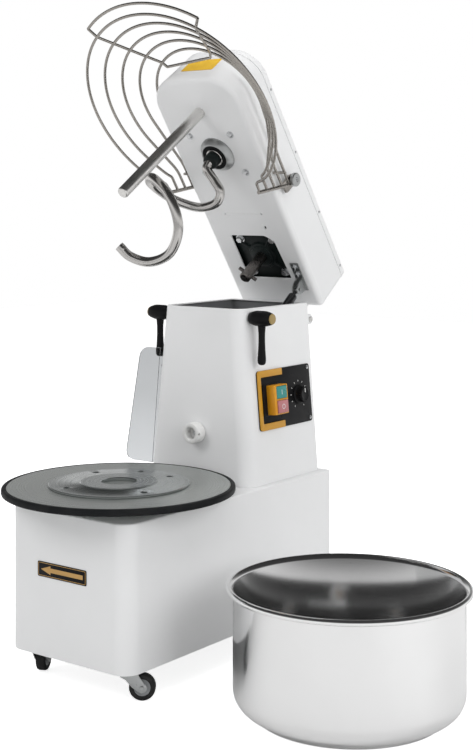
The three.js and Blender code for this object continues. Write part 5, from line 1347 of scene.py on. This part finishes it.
def makeTools():
    under = head["under"]
    top = under - 0.3
    r, n = tools["barRadius"], tools["barLength"]
    bar = spin([(0, top - n), (r - 4, top - n), (r - 2, top - n + 0.5), (r - 0.6, top - n + 1.8),
                (r, top - n + 4), (r, top), (7, top), (7, under + 22), (0, under + 22)], 56)
    post = polish("breakerBar", [bar], raised)
    fit(post, "head", "barSteel", ["breaker_bar"])
    dress("breaker_bar_nut", "boltZinc")

    at = shift(0, head["spindleY"])
    low = under - tools["sealDrop"]
    flange, seat, tip, bore = under + 3.3, tools["housing"], tools["seal"] + 3, tools["shaft"] + 0.6
    housing = spin([(bore, low + 10.5), (tip - 2.7, low + 10.5), (tip - 2.7, low + 0.6), (tip - 2.2, low),
                    (tip - 0.5, low), (tip + 0.1, low + 0.4), (seat - 0.5, under - 3), (seat, under - 2),
                    (seat, flange), (seat + 17, flange), (seat + 17, flange + 8), (seat, flange + 8),
                    (seat, under + 60), (bore, under + 60)], 96, True)
    ring = polish("spindleHousing", [housing], raised @ at)
    fit(ring, "head", "zinc", ["spindle_bearing"])
    edge = tools["seal"]
    lip = spin([(bore + 0.3, low + 2.2), (22, low + 1.6), (edge - 1, low + 1.6), (edge, low + 2.4),
                (edge, low + 9.4), (bore + 0.3, low + 9.4)], 72, True)
    seal = polish("spindleSeal", [lip], raised @ at)
    fit(seal, "head", "trimRubber", ["spindle_seal"])
    end = low - 2
    shaft = spin([(0, end), (19, end), (20, end + 1), (20, 772), (80, 772), (80, 780), (20, 780), (20, 790),
                  (0, 790)], 72)
    spindle = polish("spindleShaft", [shaft], raised @ at)
    fit(spindle, "spiral", "polishedSteel", ["spindle_shaft"])

    stations = [Vector((d * cos(radians(a)), head["spindleY"] - d * sin(radians(a)), under - z))
                for a, d, z in tools["stations"]]
    points, radii = roundTip(splinePoints(stations), tools["wire"])
    hook = grow("spiralWire", wireCurve([(points, radii)]), "wires", {
        "Radius": float(tools["wire"]), "Sides": 40, "Material": finishes["polishedSteel"]}, raised, 60)
    fit(hook, "spiral", "polishedSteel", ["spiral_hook"])
    hub, hubEnd = tools["hub"], under - tools["hubEnd"]
    neck = spin([(0, hubEnd), (hub - 5, hubEnd), (hub - 1.5, hubEnd + 1.4), (hub, hubEnd + 4),
                 (hub, end - 1), (hub - 1, end - 0.3), (0, end - 0.3)], 56)
    boss = polish("spiralHub", [neck], raised @ at)
    fit(boss, "spiral", "castBlack")

    plateBolts = [(x, head["spindleY"] + y, under) for x in (-55, 55) for y in (-48, 48)]
    screws("plateBolts", plateBolts, raised, (pi, 0.0, 0.0), "head", 1.5, 24)
    screws("coverHooks", [(x, 264, under + 1.6) for x in (-50, 50)], raised, (pi, 0.0, 0.0), "head", 0.7)


makeTools()
print("tools made")


# ---- gear face, drive shaft
gear = {"y": 383, "plate": 713, "shaft": 12.5, "end": 626, "pinZ": 642, "pin": 4, "pinLength": 47}


def makeGear():
    y, z0 = gear["y"], gear["plate"]
    at = shift(0, y)
    under = head["under"]
    parts = [block(-80, 80, 308, 457, z0, z0 + 8, 1.5),
             movePart(spin([(13.3, under + 1), (24, under + 1), (26, under + 1.8), (27, under + 4),
                            (33, under + 5), (34, under + 6.5), (34, 762), (13.3, 762)], 72, True), at)]
    ribs = [block(-3, 3, 28, 58, under + 5, z0 + 1, 1.2), block(-3, 3, -58, -28, under + 5, z0 + 1, 1.2)]
    for angle in (38, 128):
        for rib in ribs:
            parts.append(movePart(rib, at @ rotate(angle, "Z")))
    face = polish("gearFace", parts, raised)
    fit(face, "head", "castBlack", ["head_gear_plate"])
    bolts = [(x, y + dy, z0) for x in (-44, 44) for dy in (-45, 45)]
    screws("gearBolts", bolts, raised, (pi, 0.0, 0.0), "head", 1.9, 6)
    r = gear["shaft"]
    shaft = spin([(0, gear["end"]), (r - 2.4, gear["end"]), (r, gear["end"] + 2.4), (r, 772), (30, 772),
                  (30, 780), (r, 780), (r, 788), (0, 788)], 56)
    pin = movePart(drum(gear["pin"], -gear["pinLength"] / 2, gear["pinLength"] / 2, 32, 0.9),
                   shift(0, 0, gear["pinZ"]) @ rotate(45, "Z") @ toX)
    drive = polish("headDriveShaft", [shaft], raised @ at, unite=[pin])
    fit(drive, "head_drive", "shaftSteel", ["head_drive_shaft"])
    dress("head_chain", "zinc")


makeGear()


# ---- gas strut and its brackets
strut = {"x": 80, "eye": (456, 684), "foot": (315, 586), "radius": 10, "rod": 4, "body": 118, "eyeRadius": 9,
         "cheek": 2.5}


def makeStrut():
    x, (eyeY, eyeZ) = strut["x"], strut["eye"]
    a, b = 4.6, 4.6 + strut["cheek"]
    under = head["under"] - 0.3
    cheekShape = [(eyeY - 16, under), (eyeY - 14, eyeZ + 4)]
    cheekShape += arc(eyeY, eyeZ, 10, range(190, 351, 16))
    cheekShape += [(eyeY + 13, eyeZ + 6), (eyeY + 13, under)]
    parts = [block(x - b, x + b + 8, eyeY - 60, eyeY + 15, under - strut["cheek"], under, 0.5)]
    for c0, c1 in ((x - b, x - a), (x + a, x + b)):
        parts.append(movePart(prism(cheekShape, c0, c1), upright))
    parts.append(movePart(drum(3.5, x - b - 2, x + b + 3, 32, 0.6), shift(0, eyeY, eyeZ) @ toX))
    bracket = polish("strutBracket", parts, raised)
    fit(bracket, "head", "zinc", ["strut_bracket"])
    screws("strutBracketBolts", [(x + 4, y, under - strut["cheek"]) for y in (eyeY - 50, eyeY - 30)], raised,
           (pi, 0.0, 0.0), "head", 1.3, 6)

    top = raised @ Vector((x, eyeY, eyeZ))
    top = stand.inverted() @ top
    foot = Vector((x, strut["foot"][0], strut["foot"][1]))
    along = foot - top
    length = along.length
    turn = math.atan2(along.z, along.y) + pi / 2
    place = stand @ shift(*top) @ Matrix.Rotation(turn, 4, "X")
    r, n, e = strut["radius"], strut["body"], strut["eyeRadius"]
    eye = spin([(3.8, -4), (e - 0.8, -4), (e, -3.2), (e, 3.2), (e - 0.8, 4), (3.8, 4)], 48, True)
    tube = spin([(4.3, -n), (r - 1.6, -n), (r - 0.4, -n + 1), (r, -n + 3), (r, -22.4), (r - 1, -20.6),
                 (r - 2.6, -20), (4, -20), (4, -7), (0, -7), (0, -30), (4.3, -30)], 56)
    cylinder = polish("strutTube", [movePart(eye, toX)], place, unite=[tube])
    fit(cylinder, "strut_upper", "strutBlack", ["strut_cylinder"])
    low = movePart(movePart(eye, toX), shift(0, 0, -length))
    rod = polish("strutPiston", [low, drum(strut["rod"], -length + 6, -n + 16, 32, 0.4)], place)
    fit(rod, "strut_lower", "polishedSteel", ["strut_rod"])
    dress("strut_base_bracket", "zinc")


makeStrut()
print("drive and strut made")


# ---- bowl guard: five level wires that spread evenly from the outer to the inner ring
guard = {"wire": 3, "rods": 5, "pivotY": 210, "pivotZ": 757, "side": 122, "outer": 229, "inner": 133,
         "outerFront": -268, "innerFront": -132, "outerDepth": -58, "innerDepth": 40, "outerEnd": 163,
         "innerEnd": 217, "outerBend": 142, "innerBend": 139, "turnIn": 64, "rib": 35, "ribRight": 25,
         "ribLeft": 38, "lip": 25, "chord": 14, "tie": (160, 6, 184, 42)}


def guardWire(i):
    share = i / (guard["rods"] - 1)

    def between(outer, inner):
        return guard[outer] + share * (guard[inner] - guard[outer])
    radius = between("outer", "inner")
    centre = between("outerFront", "innerFront") + radius
    end, bend = between("outerEnd", "innerEnd"), between("outerBend", "innerBend")
    z = head["under"] + between("outerDepth", "innerDepth")
    side = guard["side"]
    pull = guard["turnIn"] * radius / guard["outer"]
    reach = math.hypot(side, bend - centre)
    straight = reach > radius * 1.03
    if straight:
        leave = math.atan2(bend - centre, side) - math.acos(radius / reach)
    else:
        leave = math.asin((bend - pull - centre) / radius)
    half = []
    for k in range(49):
        angle = -pi / 2 + (leave + pi / 2) * k / 48
        half.append(Vector((radius * cos(angle), centre + radius * sin(angle), z)))
    corner = Vector((side, bend, z))
    if not straight:
        begin = half[-1]
        knee = begin + pull * Vector((-sin(leave), cos(leave), 0))
        for k in range(1, 9):
            t = k / 10
            half.append((1 - t) ** 2 * begin + 2 * t * (1 - t) * knee + t * t * corner)
    half += roundPath([half[-1], corner, (side, end, z)], 16, 8)[1:]
    other = [Vector((-point.x, point.y, point.z)) for point in half[1:]]
    return {"points": half[::-1] + other, "radius": radius, "centre": centre, "end": end, "z": z}


def makeGuard():
    wires = [guardWire(i) for i in range(guard["rods"])]
    outer, inner = wires[0], wires[-1]

    def onRing(wire, radius, degrees):
        angle = radians(degrees)
        return Vector((radius * sin(angle), wire["centre"] - radius * cos(angle), wire["z"]))
    lipRadius = outer["radius"] + guard["lip"]
    rib = guard["rib"]
    paths = [(wire["points"], None) for wire in wires]
    paths.append(([onRing(outer, lipRadius, rib * (1 - 2 * k / 24)) for k in range(25)], None))
    chord = inner["radius"] - guard["chord"]
    turns = {1: guard["ribRight"], -1: -guard["ribLeft"]}
    for side, turn in turns.items():
        # a spoke crosses under the wires from the front lip to the chord behind them
        paths.append((roundPath([onRing(outer, lipRadius, side * rib),
                                 onRing(outer, outer["radius"], side * rib),
                                 onRing(inner, inner["radius"], turn), onRing(inner, chord, turn)], 8, 5),
                      None))
        y0, depth0, y1, depth1 = guard["tie"]
        x = side * guard["side"]
        paths.append(([(x, y0, head["under"] + depth0), (x, y1, head["under"] + depth1)], None))
    paths.append(([onRing(inner, chord, turns[-1]), onRing(inner, chord, turns[1])], None))
    basket = grow("guardWires", wireCurve(paths), "wires", {
        "Radius": float(guard["wire"]), "Sides": 18, "Material": finishes["wireSteel"]}, raised, 60)
    carriers = wireCurve([([(s * guard["side"], outer["end"] + 1, outer["z"] - 4),
                            (s * guard["side"], inner["end"] - 1, inner["z"] + 4)], None) for s in (1, -1)])
    bars = grow("guardCarriers", carriers, "wires", {
        "Radius": guard["wire"] + 1.0, "Sides": 20, "Material": finishes["wireSteel"]}, raised, 60)
    y, z = guard["pivotY"], guard["pivotZ"]
    ears = []
    for s in (1, -1):
        x = s * guard["side"]
        ear = [(y - 13, inner["z"] - 22), (y + 10, inner["z"] - 22), (y + 13, inner["z"] - 18)]
        ear += arc(y, z, 13, range(0, 181, 12))
        bore = movePart(drum(6.3, -6, 6, 40, 0.05), shift(x, y, z) @ toX)
        ears.append(polish("ear", [movePart(prism(ear, x - 2, x + 2), upright)], raised, soften=0.4,
                           cuts=[bore]))
    whole = joinMeshes("guardBasket", [basket, bars] + ears)
    fit(whole, "guard", "wireSteel", ["guard_basket"])

    skin = headHalf(z - 12) + 0.3
    for s, name in ((1, "right"), (-1, "left")):
        hub = spin([(0, skin), (9.4, skin), (9.4, skin + 0.8), (8, skin + 1.4), (8, guard["side"] - 2.6),
                    (6, guard["side"] - 2.6), (6, guard["side"] + 4.8), (14, guard["side"] + 4.8),
                    (15, guard["side"] + 5.8), (15, guard["side"] + 12.4), (13.6, guard["side"] + 13.8),
                    (5.4, guard["side"] + 14), (5, guard["side"] + 13.4), (5, guard["side"] + 9),
                    (0, guard["side"] + 9)], 64)
        turn = toX if s > 0 else rotate(-90, "Y")
        pivot = polish("guardPivot_" + name, [hub], raised @ shift(0, y, z) @ turn)
        fit(pivot, "head", "zinc", ["guard_pivot_" + name])
        ring = polish("pivotScrew_" + name, [spin([(2.4, guard["side"] + 8.8), (4.5, guard["side"] + 8.8),
                                                   (4.5, guard["side"] + 13), (4, guard["side"] + 13.6),
                                                   (2.4, guard["side"] + 13.6)], 30, True)],
                      raised @ shift(0, y, z) @ turn)
        fit(ring, "head", "boltZinc")


makeGuard()
print("guard made")


# ---- bowl
bowl = {"height": 233, "rim": 224.5, "radius": 211.5, "bead": 5.5, "corner": 38, "wall": 2, "foot": 175,
        "floor": 8}


def makeBowl():
    def bend(cr, cz, r, first, last, steps):
        return arc(cr, cz, r, [first + (last - first) * i / steps for i in range(steps + 1)])
    cr, cz = bowl["radius"] - bowl["corner"], bowl["floor"] + bowl["corner"]
    beadR, beadZ = bowl["rim"] - bowl["bead"], bowl["height"] - bowl["bead"]
    profile = [(0, bowl["floor"])] + bend(cr, cz, bowl["corner"], 270, 360, 14)
    profile += [(bowl["radius"], beadZ - 8), (bowl["radius"] + 1, beadZ - 6)]
    profile += bend(beadR, beadZ, bowl["bead"], -125, 140, 18)
    profile += [(bowl["radius"] + 0.6, beadZ + 1.6), (bowl["radius"] - bowl["wall"], beadZ - 3)]
    profile += bend(cr, cz, bowl["corner"] - bowl["wall"], 360, 270, 14)
    profile.append((0, bowl["floor"] + bowl["wall"]))
    foot, offset = bowl["foot"], bowl["foot"] - cr
    footTop = cz - math.sqrt(bowl["corner"] ** 2 - offset ** 2) + 1
    ring = spin([(foot - 3, 1), (foot - 2, 0), (foot - 1, 0), (foot, 1), (foot, footTop),
                 (foot - 3, footTop)], 160, True)
    place = stand @ shift(bowlCentre[0], bowlCentre[1], 0)
    thing = polish("bowlShell", [spin(profile, 192), ring], place, sharp=50)
    fit(thing, "bowl", "bowlSteel", ["bowl"])


makeBowl()
print("bowl made")


# ---- floor
floorSize = 7.0


def makeFloor():
    mesh = bpy.data.meshes.new("floor")
    mesh.from_pydata([(-floorSize, -floorSize, 0), (floorSize, -floorSize, 0), (floorSize, floorSize, 0),
                      (-floorSize, floorSize, 0)], [], [(0, 1, 2, 3)])
    floor = addObject("floor", mesh)
    material, shader = startFinish("floorPaint", 0.55)
    addColor(material, shader, (0.90, 0.90, 0.90), (0.88, 0.88, 0.88), 1.5, 0.5)
    shader.inputs["Emission Color"].default_value = (1, 1, 1, 1)
    seen = addNode(material.node_tree, "ShaderNodeLightPath")
    glow = addNode(material.node_tree, "ShaderNodeMath", operation="MULTIPLY")
    either = addNode(material.node_tree, "ShaderNodeMath", operation="MAXIMUM")
    glow.inputs[1].default_value = 0.8
    material.node_tree.links.new(seen.outputs["Is Camera Ray"], either.inputs[0])
    material.node_tree.links.new(seen.outputs["Is Transmission Ray"], either.inputs[1])
    material.node_tree.links.new(either.outputs[0], glow.inputs[0])
    material.node_tree.links.new(glow.outputs[0], shader.inputs["Emission Strength"])
    mesh.materials.append(material)


makeFloor()
print("floor laid")
